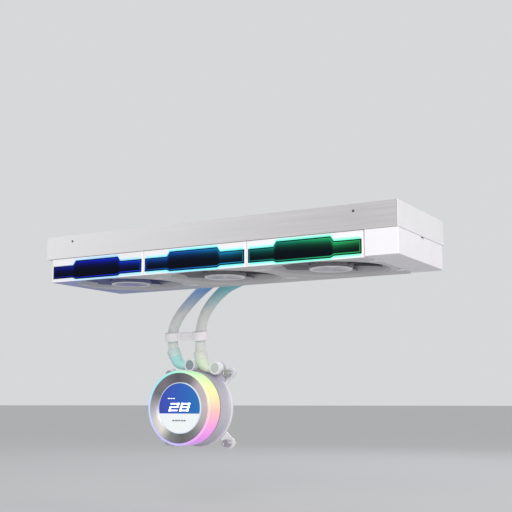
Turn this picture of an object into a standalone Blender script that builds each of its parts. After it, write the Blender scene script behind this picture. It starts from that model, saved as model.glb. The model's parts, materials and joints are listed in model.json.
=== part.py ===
"""Closed-loop liquid cooler: a three-fan radiator with mirror-lit fans, two sleeved hoses and a pump head.

Frame: +X along the radiator towards its port end, +Y towards the mainboard, +Z up.
The origin is the centre of the radiator's top mounting plane, so the whole cooler hangs below Z = 0.
"""

import math

import bmesh
import bpy
from mathutils import Matrix, Vector

MM = 0.001
GAP = 0.3 * MM  # clearance between pieces that touch

# Radiator
RAD_LENGTH = 400 * MM
RAD_WIDTH = 122 * MM
RAD_HEIGHT = 24 * MM
PLATE = 0.8 * MM  # trim plates on the radiator's sides
RAIL_SHEET = 1.2 * MM
RAIL_FLANGE = 13 * MM
CORE_LENGTH = 334 * MM
CORE_CENTRE_X = -15 * MM
TUBE_ROWS = 12
TUBE_HALF = 1.0 * MM  # half the thickness of a flat tube
TUBE_PROUD = 0.7 * MM  # of the fins
TANK_DRAFT = 0.2 * MM
FILL_BORE = 6 * MM
PORT_HOLE = 9 * MM
CHAMBER = (Vector((172, 20, -45)) * MM, Vector((193, 58.4, -24.3)) * MM)
THROAT = (Vector((174, 23, -26)) * MM, Vector((191, 46.3, -20)) * MM)
HOLE_PITCH = 105 * MM  # screw spacing on each fan position
SCREW_HOLE = 1.9 * MM

# Fans
FAN_COUNT = 3
FAN_SIZE = 120 * MM
FAN_HEIGHT = 25 * MM
FANS_LEFT = -193 * MM
DUCT_RADIUS = 56.4 * MM
INLET_RADIUS = 57.4 * MM
HUB_RADIUS = 22 * MM
BLADE_TIP = 55.0 * MM
BLADE_COUNT = 9
BLADE_SHEET = 1.5 * MM
MIRROR_SHEET = 1.0 * MM
LIGHT_BOARD = 0.5 * MM
WINDOW_DEPTH = 2.1 * MM
MOUNT_RADIUS = 20 * MM  # motor mount at the top of the frame
MOUNT_SHEET = 3.2 * MM
ARM_REACH = 59 * MM
ARM_HALF = 1.6 * MM
ARM_ANGLES = (40, 140, 220, 320)
CORNER_HOLE = 2.2 * MM
LINK_LENGTH = 12 * MM  # clips across the seams between the fans
LINK_WIDTH = 8 * MM
LINK_ROW = 33 * MM

# End cover below the port tank
COVER_DROP = 23.8 * MM
COVER_WALL = 2.4 * MM
COVER_GAP = 0.8 * MM
COVER_BACK_ROUND = 6 * MM
COVER_EDGE = 1.0 * MM

# Pump head, on an axis along Y
PUMP_X = -110 * MM
PUMP_Z = -181 * MM
PUMP_FRONT = 60 * MM
PUMP_BACK = 106 * MM
PUMP_RADIUS = 41.5 * MM
FLANGE_RADIUS = 44 * MM
BRACKET_PITCH = 78 * MM  # processor socket hole spacing
COLD_PLATE = 56 * MM
COLD_FACE_Y = 112 * MM
RING_WALL = 2.6 * MM
RING_DEPTH = 22.5 * MM
GLASS_RADIUS = 28.2 * MM
WALL_FRONT = 91 * MM  # wall between the dry motor and the wet impeller
WALL_BACK = 94 * MM
MOTOR_RECESS = 34 * MM
WET_CHAMBER = 26 * MM
PIN_RADIUS = 1.5 * MM
PIN_END = 103 * MM
IMPELLER_BORE = 1.9 * MM
VANE = Vector((42, 5, 2.4)) * MM
BRACKET_BACK = 108.5 * MM
EAR_RADIUS = 6.5 * MM
ARM_WIDTH = 11 * MM
SOCKET_HOLE = 2.5 * MM
SCREW_HEAD = 4.2 * MM
SCREW_SHANK = 1.9 * MM
SCREW_FRONT = 96 * MM
SCREW_UNDER = 101.5 * MM
SCREW_TIP = 119 * MM
SPRING = (2.6 * MM, 3.4 * MM)  # inner and outer radius

# Hoses
HOSE_RADIUS = 6 * MM
HOSE_STEP = 12 * MM
CURVE_STEPS = 24
KNUCKLE_RADIUS = 7.2 * MM
BARREL_RADIUS = 7.4 * MM
FERRULE_LENGTH = 9 * MM
CLIP_HEIGHT = 10 * MM
UPPER_PORT = Vector((181, 70, -12)) * MM
LOWER_PORT = Vector((181, 70, -36)) * MM
RADIATOR_KNUCKLE = Vector((-15, 0, 0)) * MM
LEFT_SWIVEL = Vector((-117, 96, -132.4)) * MM
RIGHT_SWIVEL = Vector((-83, 96, -136.4)) * MM
PUMP_KNUCKLE = Vector((-16, -4, 2.6)) * MM
SWIVEL_FRONT = 91.8 * MM
SWIVEL_BACK = 101.0 * MM
SWIVEL_NECK = 4.6 * MM
SWIVEL_BOSS = 7.7 * MM  # round bosses behind the swivels
BOSS_BACK = 105.5 * MM
PORT_FRONT = 78 * MM
PORT_NECK = 5.6 * MM

# Each route runs from the radiator's elbow to the pump's elbow, in millimetres.
LEFT_ROUTE = [
    (158.5, 70, -12), (149, 70, -12), (110, 70, -13), (70, 70, -15), (30, 70.5, -17),
    (0, 71, -19), (-28, 72, -23), (-51, 73, -29.5), (-73, 74.5, -39), (-92, 76, -50.5),
    (-108.5, 78.5, -62.5), (-123.5, 81, -76), (-133.5, 84, -89.5), (-136.8, 86.5, -101),
    (-137.7, 89.4, -114.2), (-135.3, 91, -122.5),
]
RIGHT_ROUTE = [
    (158.5, 70, -36), (149, 70, -36), (110, 70, -36), (60, 70, -36), (20, 70.5, -35.8),
    (-8, 71, -37), (-29, 72.5, -40), (-46.6, 74, -44.6), (-61.6, 76, -51.2),
    (-76.2, 78.5, -61.8), (-88.4, 81, -75), (-95.6, 84, -89), (-98.8, 86.5, -101.5),
    (-100.6, 89.5, -116.6), (-99.8, 90.9, -126.2),
]
CLIP_CENTRE = Vector((-117.4, 86.1, -99.6)) * MM
CLIP_SPACING = 38.0 * MM
CLIP_BORE = HOSE_RADIUS + 1.8 * MM
CLIP_RING = HOSE_RADIUS + 3.1 * MM
CLIP_BAR = 1.6 * MM  # half its thickness
CLIP_LEAN = math.atan2(5.4, 25)


def clear_scene():
    for obj in list(bpy.data.objects):
        bpy.data.objects.remove(obj, do_unlink=True)


def collection(name):
    group = bpy.data.collections.new(name)
    bpy.context.scene.collection.children.link(group)
    return group


def material(name, colour, roughness, metallic=0.0):
    made = bpy.data.materials.new(name)
    made.use_nodes = True
    shader = made.node_tree.nodes["Principled BSDF"]
    shader.inputs["Base Color"].default_value = (*colour, 1.0)
    shader.inputs["Roughness"].default_value = roughness
    shader.inputs["Metallic"].default_value = metallic
    return made


clear_scene()
PARTS = collection("liquid_cooler")
CUTTERS = collection("cutters")

WHITE = material("white_plastic", (0.86, 0.86, 0.87), 0.45)
WHITE_METAL = material("white_paint", (0.82, 0.82, 0.84), 0.4)
BRUSHED = material("brushed_plate", (0.72, 0.71, 0.71), 0.35, 0.9)
FIN = material("white_fins", (0.74, 0.74, 0.76), 0.5, 0.3)
BLADE = material("blade", (0.66, 0.67, 0.70), 0.4)
SPUN = material("spun_metal", (0.62, 0.62, 0.65), 0.25, 1.0)
MIRROR = material("dark_mirror", (0.02, 0.03, 0.06), 0.05, 0.4)
CIRCUIT = material("circuit_board", (0.9, 0.9, 0.88), 0.5)
WINDING = material("motor_winding", (0.45, 0.24, 0.12), 0.4, 0.6)
SLEEVE = material("hose_sleeve", (0.78, 0.78, 0.74), 0.7)
GLOW = material("light_diffuser", (0.85, 0.90, 0.95), 0.3)
GLASS = material("display_glass", (0.05, 0.12, 0.45), 0.08)
COPPER = material("copper", (0.72, 0.40, 0.25), 0.3, 1.0)
STEEL = material("steel", (0.62, 0.62, 0.64), 0.3, 1.0)
DARK = material("dark_plastic", (0.05, 0.05, 0.06), 0.5)


def add(name, mesh, finish=None):
    """A new object: a part when it has a finish, otherwise a hidden helper."""
    obj = bpy.data.objects.new(name, mesh)
    if finish is None:
        CUTTERS.objects.link(obj)
        obj.hide_render = True
        obj.display_type = "WIRE"
    else:
        PARTS.objects.link(obj)
        mesh.materials.append(finish)
    return obj


def soften(obj, width, segments=2):
    """Rounds the edges between faces at more than 30 degrees."""
    bevel = obj.modifiers.new("Bevel", "BEVEL")
    bevel.width = width
    bevel.segments = segments
    bevel.limit_method = "ANGLE"


def boolean(obj, other, operation):
    modifier = obj.modifiers.new(operation.title(), "BOOLEAN")
    modifier.operation = operation
    modifier.object = other


def box_mesh(name, low, high):
    """A box mesh about its own centre, and that centre."""
    low, high = Vector(low), Vector(high)
    bm = bmesh.new()
    bmesh.ops.create_cube(bm, size=1.0)
    bmesh.ops.scale(bm, vec=high - low, verts=bm.verts)
    mesh = bpy.data.meshes.new(name)
    bm.to_mesh(mesh)
    bm.free()
    return mesh, (low + high) / 2


def upright(edge):
    return abs(edge.verts[0].co.z - edge.verts[1].co.z) > MM


def bevel_mesh(mesh, choose, width, segments):
    """Rounds the chosen edges of a mesh."""
    bm = bmesh.new()
    bm.from_mesh(mesh)
    edges = [e for e in bm.edges if choose(e)]
    bmesh.ops.bevel(bm, geom=edges, offset=width, segments=segments, profile=0.5, affect="EDGES")
    bm.to_mesh(mesh)
    bm.free()


def box(name, low, high, finish=None, edge=0.0):
    mesh, centre = box_mesh(name, low, high)
    obj = add(name, mesh, finish)
    obj.location = centre
    if edge:
        soften(obj, edge)
    return obj


def turned(name, profile, place, finish=None, steps=32, closed=False, axis="Z"):
    """A profile of (radius, height) points turned about its height, which lies along Z or Y."""
    mesh = bpy.data.meshes.new(name)
    edges = [(i, i + 1) for i in range(len(profile) - 1)]
    if closed:
        edges.append((len(profile) - 1, 0))
    mesh.from_pydata([(radius, 0, height) for radius, height in profile], edges, [])
    obj = add(name, mesh, finish)
    obj.location = place
    if axis == "Y":
        obj.rotation_euler = (-math.pi / 2, 0, 0)
    screw = obj.modifiers.new("Screw", "SCREW")
    screw.steps = steps
    screw.render_steps = steps
    screw.use_merge_vertices = True
    screw.merge_threshold = 0.00001
    screw.use_smooth_shade = True
    return obj


def as_mesh(obj):
    """Replaces a curve or a modified object by its evaluated mesh, with coincident points joined."""
    bpy.context.view_layer.update()
    graph = bpy.context.evaluated_depsgraph_get()
    mesh = bpy.data.meshes.new_from_object(obj.evaluated_get(graph))
    bm = bmesh.new()
    bm.from_mesh(mesh)
    bmesh.ops.remove_doubles(bm, verts=bm.verts, dist=0.00001)
    bmesh.ops.recalc_face_normals(bm, faces=bm.faces)
    bm.to_mesh(mesh)
    bm.free()
    made = bpy.data.objects.new(obj.name, mesh)
    for group in obj.users_collection:
        group.objects.link(made)
    made.matrix_world = obj.matrix_world
    made.hide_render = obj.hide_render
    made.display_type = obj.display_type
    name = obj.name
    bpy.data.objects.remove(obj, do_unlink=True)
    made.name = name
    return made


def slab(name, outline, thickness, place, turn, finish=None):
    """A flat outline with a thickness, centred on its own plane."""
    curve = bpy.data.curves.new(name, "CURVE")
    curve.dimensions = "2D"
    curve.fill_mode = "BOTH"
    curve.extrude = thickness / 2
    spline = curve.splines.new("POLY")
    spline.points.add(len(outline) - 1)
    for point, (x, y) in zip(spline.points, outline):
        point.co = (x, y, 0, 1)
    spline.use_cyclic_u = True
    obj = bpy.data.objects.new(name, curve)
    group = PARTS if finish else CUTTERS
    group.objects.link(obj)
    if finish:
        curve.materials.append(finish)
    else:
        obj.hide_render = True
        obj.display_type = "WIRE"
    obj.location = place
    obj.rotation_euler = turn
    obj = as_mesh(obj)
    bm = bmesh.new()
    bm.from_mesh(obj.data)
    bmesh.ops.dissolve_limit(bm, angle_limit=0.001, verts=bm.verts, edges=bm.edges)
    bm.to_mesh(obj.data)
    bm.free()
    return obj


def cylinders(name, ends, radius, sides=10):
    """One helper mesh holding a cylinder between each pair of points."""
    bm = bmesh.new()
    for start, stop in ends:
        start, stop = Vector(start), Vector(stop)
        turn = Vector((0, 0, 1)).rotation_difference(stop - start).to_matrix().to_4x4()
        bmesh.ops.create_cone(
            bm, cap_ends=True, segments=sides, radius1=radius, radius2=radius,
            depth=(stop - start).length, matrix=Matrix.Translation((start + stop) / 2) @ turn,
        )
    mesh = bpy.data.meshes.new(name)
    bm.to_mesh(mesh)
    bm.free()
    return add(name, mesh)


def ball(name, place, radius):
    bm = bmesh.new()
    bmesh.ops.create_uvsphere(bm, u_segments=12, v_segments=6, radius=radius)
    mesh = bpy.data.meshes.new(name)
    bm.to_mesh(mesh)
    bm.free()
    obj = add(name, mesh)
    obj.location = place
    return obj


ALONG_X = (math.pi / 2, 0, math.pi / 2)  # turns a flat outline to face +X
UPRIGHT = (math.pi / 2, 0, 0)  # turns a flat outline to face the front
HALF_X, HALF_Y = RAD_LENGTH / 2, RAD_WIDTH / 2
RAIL_DRILL = Vector((0, 0, 2.4 * MM))
CORE_LEFT = CORE_CENTRE_X - CORE_LENGTH / 2
CORE_RIGHT = CORE_CENTRE_X + CORE_LENGTH / 2
RAIL_OUT = HALF_Y - PLATE - GAP
INNER_Y = RAIL_OUT - RAIL_SHEET - GAP
INNER_TOP = -RAIL_SHEET - GAP
INNER_BOTTOM = -RAD_HEIGHT + RAIL_SHEET + GAP
FLANGE_Y = RAIL_OUT - RAIL_FLANGE
FAN_TOP = -RAD_HEIGHT - GAP
FAN_BOTTOM = -RAD_HEIGHT - FAN_HEIGHT
FAN_CENTRES = [FANS_LEFT + FAN_SIZE * (i + 0.5) for i in range(FAN_COUNT)]
FANS_RIGHT = FANS_LEFT + FAN_SIZE * FAN_COUNT
SEAMS = [FANS_LEFT + FAN_SIZE * (i + 1) for i in range(FAN_COUNT)]
LINK_TOP = FAN_BOTTOM + 1.5 * MM
LINK_BOTTOM = FAN_BOTTOM + 0.3 * MM


def port_cutter(name, port):
    return cylinders(name, [(port - Vector((0, 12 * MM, 0)), port + Vector((0, 4 * MM, 0)))], PORT_HOLE, 20)


def radiator_core():
    """Finned block whose flat tubes stand a little proud on both faces."""
    top, bottom = INNER_TOP - 0.2 * MM, INNER_BOTTOM + 0.2 * MM
    fins = top - TUBE_PROUD
    pitch = 2 * INNER_Y / TUBE_ROWS
    upper = [(-INNER_Y, fins)]
    for row in range(TUBE_ROWS):
        left = -INNER_Y + pitch * (row + 0.5) - TUBE_HALF
        right = left + 2 * TUBE_HALF
        upper += [(left, fins), (left, top), (right, top), (right, fins)]
    upper.append((INNER_Y, fins))
    lower = [(y, top + bottom - z) for y, z in reversed(upper)]
    slab("radiator_core", upper + lower, CORE_LENGTH - 2 * GAP, (CORE_CENTRE_X, 0, 0), ALONG_X, FIN)


def tank(name, left, right):
    """An end tank: full height between the rails' flanges, thinner where it sits inside them."""
    wide, narrow = INNER_Y, FLANGE_Y - GAP
    side = [
        (narrow, -GAP), (narrow, INNER_TOP), (wide, INNER_TOP - TANK_DRAFT),
        (wide, INNER_BOTTOM + TANK_DRAFT), (narrow, INNER_BOTTOM), (narrow, GAP - RAD_HEIGHT),
    ]
    outline = side + [(-y, z) for y, z in reversed(side)]
    return slab(name, outline, right - left, ((left + right) / 2, 0, 0), ALONG_X, WHITE_METAL)


def rail(name, side):
    """A channel along one side, with a row of screw holes in each flange."""
    length = RAD_LENGTH - PLATE - 2 * GAP
    inside, lift = RAIL_OUT - RAIL_SHEET, RAIL_SHEET - RAD_HEIGHT
    outline = [
        (RAIL_OUT, 0), (RAIL_OUT, -RAD_HEIGHT), (FLANGE_Y, -RAD_HEIGHT), (FLANGE_Y, lift),
        (inside, lift), (inside, -RAIL_SHEET), (FLANGE_Y, -RAIL_SHEET), (FLANGE_Y, 0),
    ]
    outline = [(side * y, z) for y, z in outline]
    obj = slab(name, outline, length, (GAP - HALF_X + length / 2, 0, 0), ALONG_X, WHITE_METAL)
    ends = []
    for fan_x in FAN_CENTRES:
        for x in (fan_x - HOLE_PITCH / 2, fan_x + HOLE_PITCH / 2):
            for z in (0, -RAD_HEIGHT):
                place = Vector((x, side * HOLE_PITCH / 2, z))
                ends.append((place - RAIL_DRILL, place + RAIL_DRILL))
    boolean(obj, cylinders(name + "_holes", ends, SCREW_HOLE, 8), "DIFFERENCE")
    return obj


def radiator():
    radiator_core()
    tank("return_tank", -HALF_X, CORE_LEFT)
    right = HALF_X - PLATE - GAP
    port_tank = tank("port_tank", CORE_RIGHT, right)
    boolean(port_tank, box("port_throat", *THROAT), "UNION")
    boolean(port_tank, box("port_chamber", *CHAMBER), "UNION")
    rail("front_rail", -1)
    back_rail = rail("back_rail", 1)
    boolean(back_rail, port_cutter("back_rail_port", UPPER_PORT), "DIFFERENCE")
    box("front_plate", (-HALF_X, -HALF_Y, -RAD_HEIGHT), (right, -HALF_Y + PLATE, 0), BRUSHED)
    back_plate = box("back_plate", (-HALF_X, HALF_Y - PLATE, -RAD_HEIGHT), (right, HALF_Y, 0), BRUSHED)
    boolean(back_plate, port_cutter("back_plate_port", UPPER_PORT), "DIFFERENCE")
    box("end_plate", (HALF_X - PLATE, -HALF_Y, -RAD_HEIGHT), (HALF_X, HALF_Y, 0), WHITE_METAL)
    fill = Vector(((CORE_RIGHT + HALF_X) / 2, 0, 0))
    hole = cylinders("fill_hole", [(fill - Vector((0, 0, 5 * MM)), fill + Vector((0, 0, MM)))], FILL_BORE, 16)
    boolean(port_tank, hole, "DIFFERENCE")
    rim, low, key = FILL_BORE - 0.4 * MM, -4.6 * MM, 2 * MM
    plug = [(0, -MM), (key, -MM), (key, -0.6 * MM), (rim, -0.6 * MM), (rim, low), (0, low)]
    turned("fill_plug", plug, fill, STEEL, 16)


def clip_pockets(name, seams):
    """Cutter for the shallow pockets that the link clips sit in."""
    bm = bmesh.new()
    low = Vector((-LINK_LENGTH / 2 - GAP, -LINK_WIDTH / 2 - GAP, FAN_BOTTOM - MM))
    high = Vector((LINK_LENGTH / 2 + GAP, LINK_WIDTH / 2 + GAP, LINK_TOP + GAP))
    for seam in seams:
        for y in (-LINK_ROW, LINK_ROW):
            made = bmesh.ops.create_cube(bm, size=1.0)["verts"]
            bmesh.ops.scale(bm, vec=high - low, verts=made)
            bmesh.ops.translate(bm, vec=(low + high) / 2 + Vector((seam, y, 0)), verts=made)
    mesh = bpy.data.meshes.new(name)
    bm.to_mesh(mesh)
    bm.free()
    return add(name, mesh)


def link_clips():
    for number, seam in enumerate(SEAMS, 1):
        for side, y in (("front", -LINK_ROW), ("back", LINK_ROW)):
            low = (seam - LINK_LENGTH / 2, y - LINK_WIDTH / 2, LINK_BOTTOM)
            high = (seam + LINK_LENGTH / 2, y + LINK_WIDTH / 2, LINK_TOP)
            box(f"link_clip_{number}_{side}", low, high, WHITE, 0.3 * MM)


def mirror_outline(grow=0.0):
    """Long low window, taller over its middle; centred on the fan, with heights from its top."""
    end, shoulder, crown = 58 * MM + grow, 31 * MM, 27.7 * MM + grow / 2
    high, low = -7.7 * MM + grow, -21.0 * MM - grow
    tall, deep = -3.0 * MM + grow, -22.7 * MM - grow
    taper = 0.1 * MM
    right = [
        (crown, tall), (shoulder, high), (end, high - taper),
        (end, low + taper), (shoulder, low), (crown, deep),
    ]
    return right + [(-x, z) for x, z in reversed(right)]


def motor_mount(name, x):
    """Disc at the top of the frame with an arm to each corner of the duct."""
    low = FAN_TOP - MOUNT_SHEET
    profile = [(0, FAN_TOP), (MOUNT_RADIUS, FAN_TOP), (MOUNT_RADIUS, low), (0, low)]
    mount = turned(name, profile, (x, 0, 0), None, 20)
    for angle in ARM_ANGLES:
        start = (-ARM_REACH / 2, -ARM_HALF, low + 0.4 * MM)
        arm = box(f"{name}_arm_{angle}", start, (ARM_REACH / 2, ARM_HALF, FAN_TOP - 0.2 * MM))
        turn = math.radians(angle)
        arm.location += Vector((x + ARM_REACH / 2 * math.cos(turn), ARM_REACH / 2 * math.sin(turn), 0))
        arm.rotation_euler = (0, 0, turn)
        boolean(mount, arm, "UNION")
    return as_mesh(mount)


def fan_frame(number, x):
    """Square frame with a flared round duct, a four-armed motor mount, corner holes and a window pocket."""
    name = f"fan_{number}_frame"
    half = FAN_SIZE / 2 - GAP / 2
    mesh, centre = box_mesh(name, (-half, -FAN_SIZE / 2, FAN_BOTTOM), (half, FAN_SIZE / 2, FAN_TOP))
    bevel_mesh(mesh, upright, 1.5 * MM, 2)
    frame = add(name, mesh, WHITE)
    frame.location = centre + Vector((x, 0, 0))
    top, bottom, flare = FAN_TOP + MM, FAN_BOTTOM - MM, FAN_BOTTOM + 4 * MM
    profile = [(0, top), (DUCT_RADIUS, top), (DUCT_RADIUS, flare), (INLET_RADIUS, bottom), (0, bottom)]
    boolean(frame, turned(name + "_duct", profile, (x, 0, 0), None, 40), "DIFFERENCE")
    boolean(frame, motor_mount(name + "_mount", x), "UNION")
    ends = []
    for across in (x - HOLE_PITCH / 2, x + HOLE_PITCH / 2):
        for y in (-HOLE_PITCH / 2, HOLE_PITCH / 2):
            ends.append(((across, y, bottom), (across, y, top)))
    boolean(frame, cylinders(name + "_holes", ends, CORNER_HOLE, 8), "DIFFERENCE")
    place = (x, -FAN_SIZE / 2, FAN_TOP)
    pocket = slab(name + "_window", mirror_outline(GAP), 2 * WINDOW_DEPTH, place, UPRIGHT)
    boolean(frame, pocket, "DIFFERENCE")
    seams = [seam for seam in SEAMS if abs(seam - x) < FAN_SIZE]
    boolean(frame, clip_pockets(name + "_pockets", seams), "DIFFERENCE")


def fan_window(number, x):
    """The half-silvered window and the light board behind it."""
    front = -FAN_SIZE / 2
    place = (x, front + MIRROR_SHEET / 2, FAN_TOP)
    slab(f"fan_{number}_mirror", mirror_outline(), MIRROR_SHEET, place, UPRIGHT, MIRROR)
    board_front = front + MIRROR_SHEET + GAP
    low = (x - 55 * MM, board_front, FAN_TOP - 19 * MM)
    high = (x + 55 * MM, board_front + LIGHT_BOARD, FAN_TOP - 10 * MM)
    box(f"fan_{number}_light_board", low, high, CIRCUIT)


def blades(name, x):
    """One helper mesh of all the blades: swept, pitched sheets from the hub to just inside the duct."""
    bm = bmesh.new()
    root, tip = HUB_RADIUS - 0.9 * MM, BLADE_TIP
    low, high = FAN_BOTTOM + 3.6 * MM, FAN_TOP - 5.2 * MM
    for number in range(BLADE_COUNT):
        start = 2 * math.pi * number / BLADE_COUNT
        sheet = bmesh.ops.create_grid(bm, x_segments=3, y_segments=2, size=0.5)["verts"]
        for vert in sheet:
            out, along = vert.co.x + 0.5, vert.co.y + 0.5
            radius = root + (tip - root) * out
            chord = math.radians(34 - 9 * out)
            angle = start + chord * (along - 0.5) + math.radians(20) * out ** 1.4
            fall = (0.92 - 0.34 * out) * (along - 0.5) + 0.10 * math.sin(math.pi * along)
            height = (low + high) / 2 + (high - low) * fall
            vert.co = (x + radius * math.cos(angle), radius * math.sin(angle), height)
    mesh = bpy.data.meshes.new(name)
    bm.to_mesh(mesh)
    bm.free()
    obj = add(name, mesh)
    sheet = obj.modifiers.new("Solidify", "SOLIDIFY")
    sheet.thickness = BLADE_SHEET
    sheet.offset = 0
    return as_mesh(obj)


def fan_rotor(number, x):
    """Cup-shaped hub on its shaft with the blades round it, and the spun disc on its face."""
    top, floor, bottom = FAN_TOP - 4.7 * MM, FAN_BOTTOM + 3.8 * MM, FAN_BOTTOM + 2.2 * MM
    inside = HUB_RADIUS - 1.8 * MM
    shaft = 1.5 * MM
    profile = [
        (0, top - MM), (shaft, top - MM), (shaft, floor), (inside, floor), (inside, top), (HUB_RADIUS, top),
        (HUB_RADIUS, bottom + MM), (HUB_RADIUS - MM, bottom), (0, bottom),
    ]
    rotor = turned(f"fan_{number}_rotor", profile, (x, 0, 0), BLADE, 24)
    boolean(rotor, blades(f"fan_{number}_blades", x), "UNION")
    cap_top, cap_bottom = bottom - GAP, FAN_BOTTOM + 0.6 * MM
    cap = [
        (0, cap_top), (20.6 * MM, cap_top), (21 * MM, cap_bottom + 0.5 * MM), (20.4 * MM, cap_bottom),
        (19 * MM, cap_bottom), (0, cap_bottom + 0.8 * MM),
    ]
    turned(f"fan_{number}_hub_disc", cap, (x, 0, 0), SPUN, 24)


def fan_stator(number, x):
    top = FAN_TOP - 3.2 * MM - GAP
    bottom = FAN_BOTTOM + 5 * MM
    bore, coil, sleeve = 1.9 * MM, 17.5 * MM, 6 * MM
    profile = [
        (bore, top), (sleeve, top), (sleeve, top - 2.4 * MM), (coil, top - 3.4 * MM), (coil, bottom + MM),
        (sleeve, bottom), (bore, bottom),
    ]
    turned(f"fan_{number}_stator", profile, (x, 0, 0), WINDING, 16, closed=True)


def fan(number, x):
    fan_frame(number, x)
    fan_window(number, x)
    fan_rotor(number, x)
    fan_stator(number, x)


def cover_shape(name, inset, top, finish=None):
    """Box under the port tank with a rounded back corner, drawn in by the given amount."""
    low = Vector((FANS_RIGHT + COVER_GAP + inset, inset - HALF_Y, FAN_TOP - COVER_DROP + inset))
    mesh, centre = box_mesh(name, low, (HALF_X - inset, HALF_Y - inset, top))
    bevel_mesh(mesh, lambda e: upright(e) and min(e.verts[0].co.xy) > 0, COVER_BACK_ROUND - inset, 4)
    cover = add(name, mesh, finish)
    cover.location = centre
    return cover


def end_cover():
    """Open-topped shell under the port tank, as deep as the fans."""
    cover = cover_shape("end_cover", 0, FAN_TOP, WHITE)
    bevel_mesh(cover.data, lambda e: upright(e) and min(e.verts[0].co.xy) < -MM, COVER_EDGE, 2)
    boolean(cover, cover_shape("end_cover_inside", COVER_WALL, FAN_TOP + MM), "DIFFERENCE")
    boolean(cover, port_cutter("end_cover_port", LOWER_PORT), "DIFFERENCE")
    boolean(cover, clip_pockets("end_cover_pockets", SEAMS[-1:]), "DIFFERENCE")


def smooth_route(points, step):
    """Points a step apart on a smooth curve through the given ones, straight at both ends."""
    nodes = [Vector(point) * MM for point in points]
    padded = [2 * nodes[0] - nodes[1]] + nodes + [2 * nodes[-1] - nodes[-2]]
    fine = []
    for a, b, c, d in zip(padded, padded[1:], padded[2:], padded[3:]):
        for i in range(CURVE_STEPS):
            t = i / CURVE_STEPS
            bend = (2 * a - 5 * b + 4 * c - d) * t * t + (3 * b - a - 3 * c + d) * t ** 3
            fine.append(0.5 * (2 * b + (c - a) * t + bend))
    fine.append(nodes[-1])
    lengths = [0.0]
    for one, two in zip(fine, fine[1:]):
        lengths.append(lengths[-1] + (two - one).length)
    count = round(lengths[-1] / step)
    route, place = [], 0
    for i in range(count + 1):
        target = lengths[-1] * i / count
        while place < len(fine) - 2 and lengths[place + 1] < target:
            place += 1
        share = (target - lengths[place]) / (lengths[place + 1] - lengths[place])
        route.append(fine[place].lerp(fine[place + 1], min(max(share, 0), 1)))
    return route


def hose(name, points):
    curve = bpy.data.curves.new(name, "CURVE")
    curve.dimensions = "3D"
    curve.bevel_depth = HOSE_RADIUS
    curve.bevel_resolution = 2
    curve.use_fill_caps = True
    route = smooth_route(points, HOSE_STEP)
    spline = curve.splines.new("POLY")
    spline.points.add(len(route) - 1)
    for point, place in zip(spline.points, route):
        point.co = (*place, 1)
    curve.materials.append(SLEEVE)
    PARTS.objects.link(bpy.data.objects.new(name, curve))
    return route


def ferrule(name, end, inner):
    """A collar round the hose's last straight stretch."""
    way = (inner - end).normalized()
    turn = Vector((0, 0, 1)).rotation_difference(way)
    bore, outer = HOSE_RADIUS + 0.5 * MM, HOSE_RADIUS + 1.7 * MM
    profile = [(bore, FERRULE_LENGTH), (outer, FERRULE_LENGTH), (outer, 0), (bore, 0)]
    obj = turned(name, profile, end, WHITE, 14, closed=True)
    obj.rotation_mode = "QUATERNION"
    obj.rotation_quaternion = turn


def elbow(name, port, knuckle, hose_end, back, front, neck_radius):
    """Swivel elbow: a barrel along Y, a neck and a round knuckle that stops just short of the hose's end."""
    barrel = cylinders(name, [((port.x, front, port.z), (port.x, back, port.z))], BARREL_RADIUS, 14)
    centre = port + knuckle
    neck = cylinders(name + "_neck", [(port, centre)], neck_radius, 10)
    knuckle_ball = ball(name + "_knuckle", centre, KNUCKLE_RADIUS)
    boolean(barrel, neck, "UNION")
    boolean(barrel, knuckle_ball, "UNION")
    way = (hose_end - centre).normalized()
    wide, deep = 10 * MM, 3 * MM
    face = box(name + "_face", (-wide, -wide, -deep), (wide, wide, deep))
    face.rotation_mode = "QUATERNION"
    face.rotation_quaternion = Vector((0, 0, 1)).rotation_difference(way)
    face.location = hose_end + way * (deep - GAP)
    boolean(barrel, face, "DIFFERENCE")
    obj = as_mesh(barrel)
    obj.hide_render = False
    obj.display_type = "TEXTURED"
    CUTTERS.objects.unlink(obj)
    PARTS.objects.link(obj)
    obj.data.materials.append(WHITE)
    return obj


def hose_clip():
    """A bar with a ring round each hose."""
    half = CLIP_HEIGHT / 2
    places = [Vector((-CLIP_SPACING / 2, 0, 0)), Vector((CLIP_SPACING / 2, 0, 0))]
    up = Vector((0, 0, half))
    low = (-CLIP_SPACING / 2, -CLIP_BAR, -half + GAP)
    high = (CLIP_SPACING / 2, CLIP_BAR, half - GAP)
    bar = box("hose_clip", low, high, WHITE)
    rings = cylinders("hose_clip_rings", [(p - up, p + up) for p in places], CLIP_RING, 24)
    bores = cylinders("hose_clip_bores", [(p - 2 * up, p + 2 * up) for p in places], CLIP_BORE, 24)
    for piece in (bar, rings, bores):
        piece.location = CLIP_CENTRE
        piece.rotation_euler = (CLIP_LEAN, 0, 0)
    boolean(bar, rings, "UNION")
    boolean(bar, bores, "DIFFERENCE")


def pump_piece(name, profile, finish, steps=40, closed=False):
    return turned(name, profile, (PUMP_X, 0, PUMP_Z), finish, steps, closed, "Y")


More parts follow.
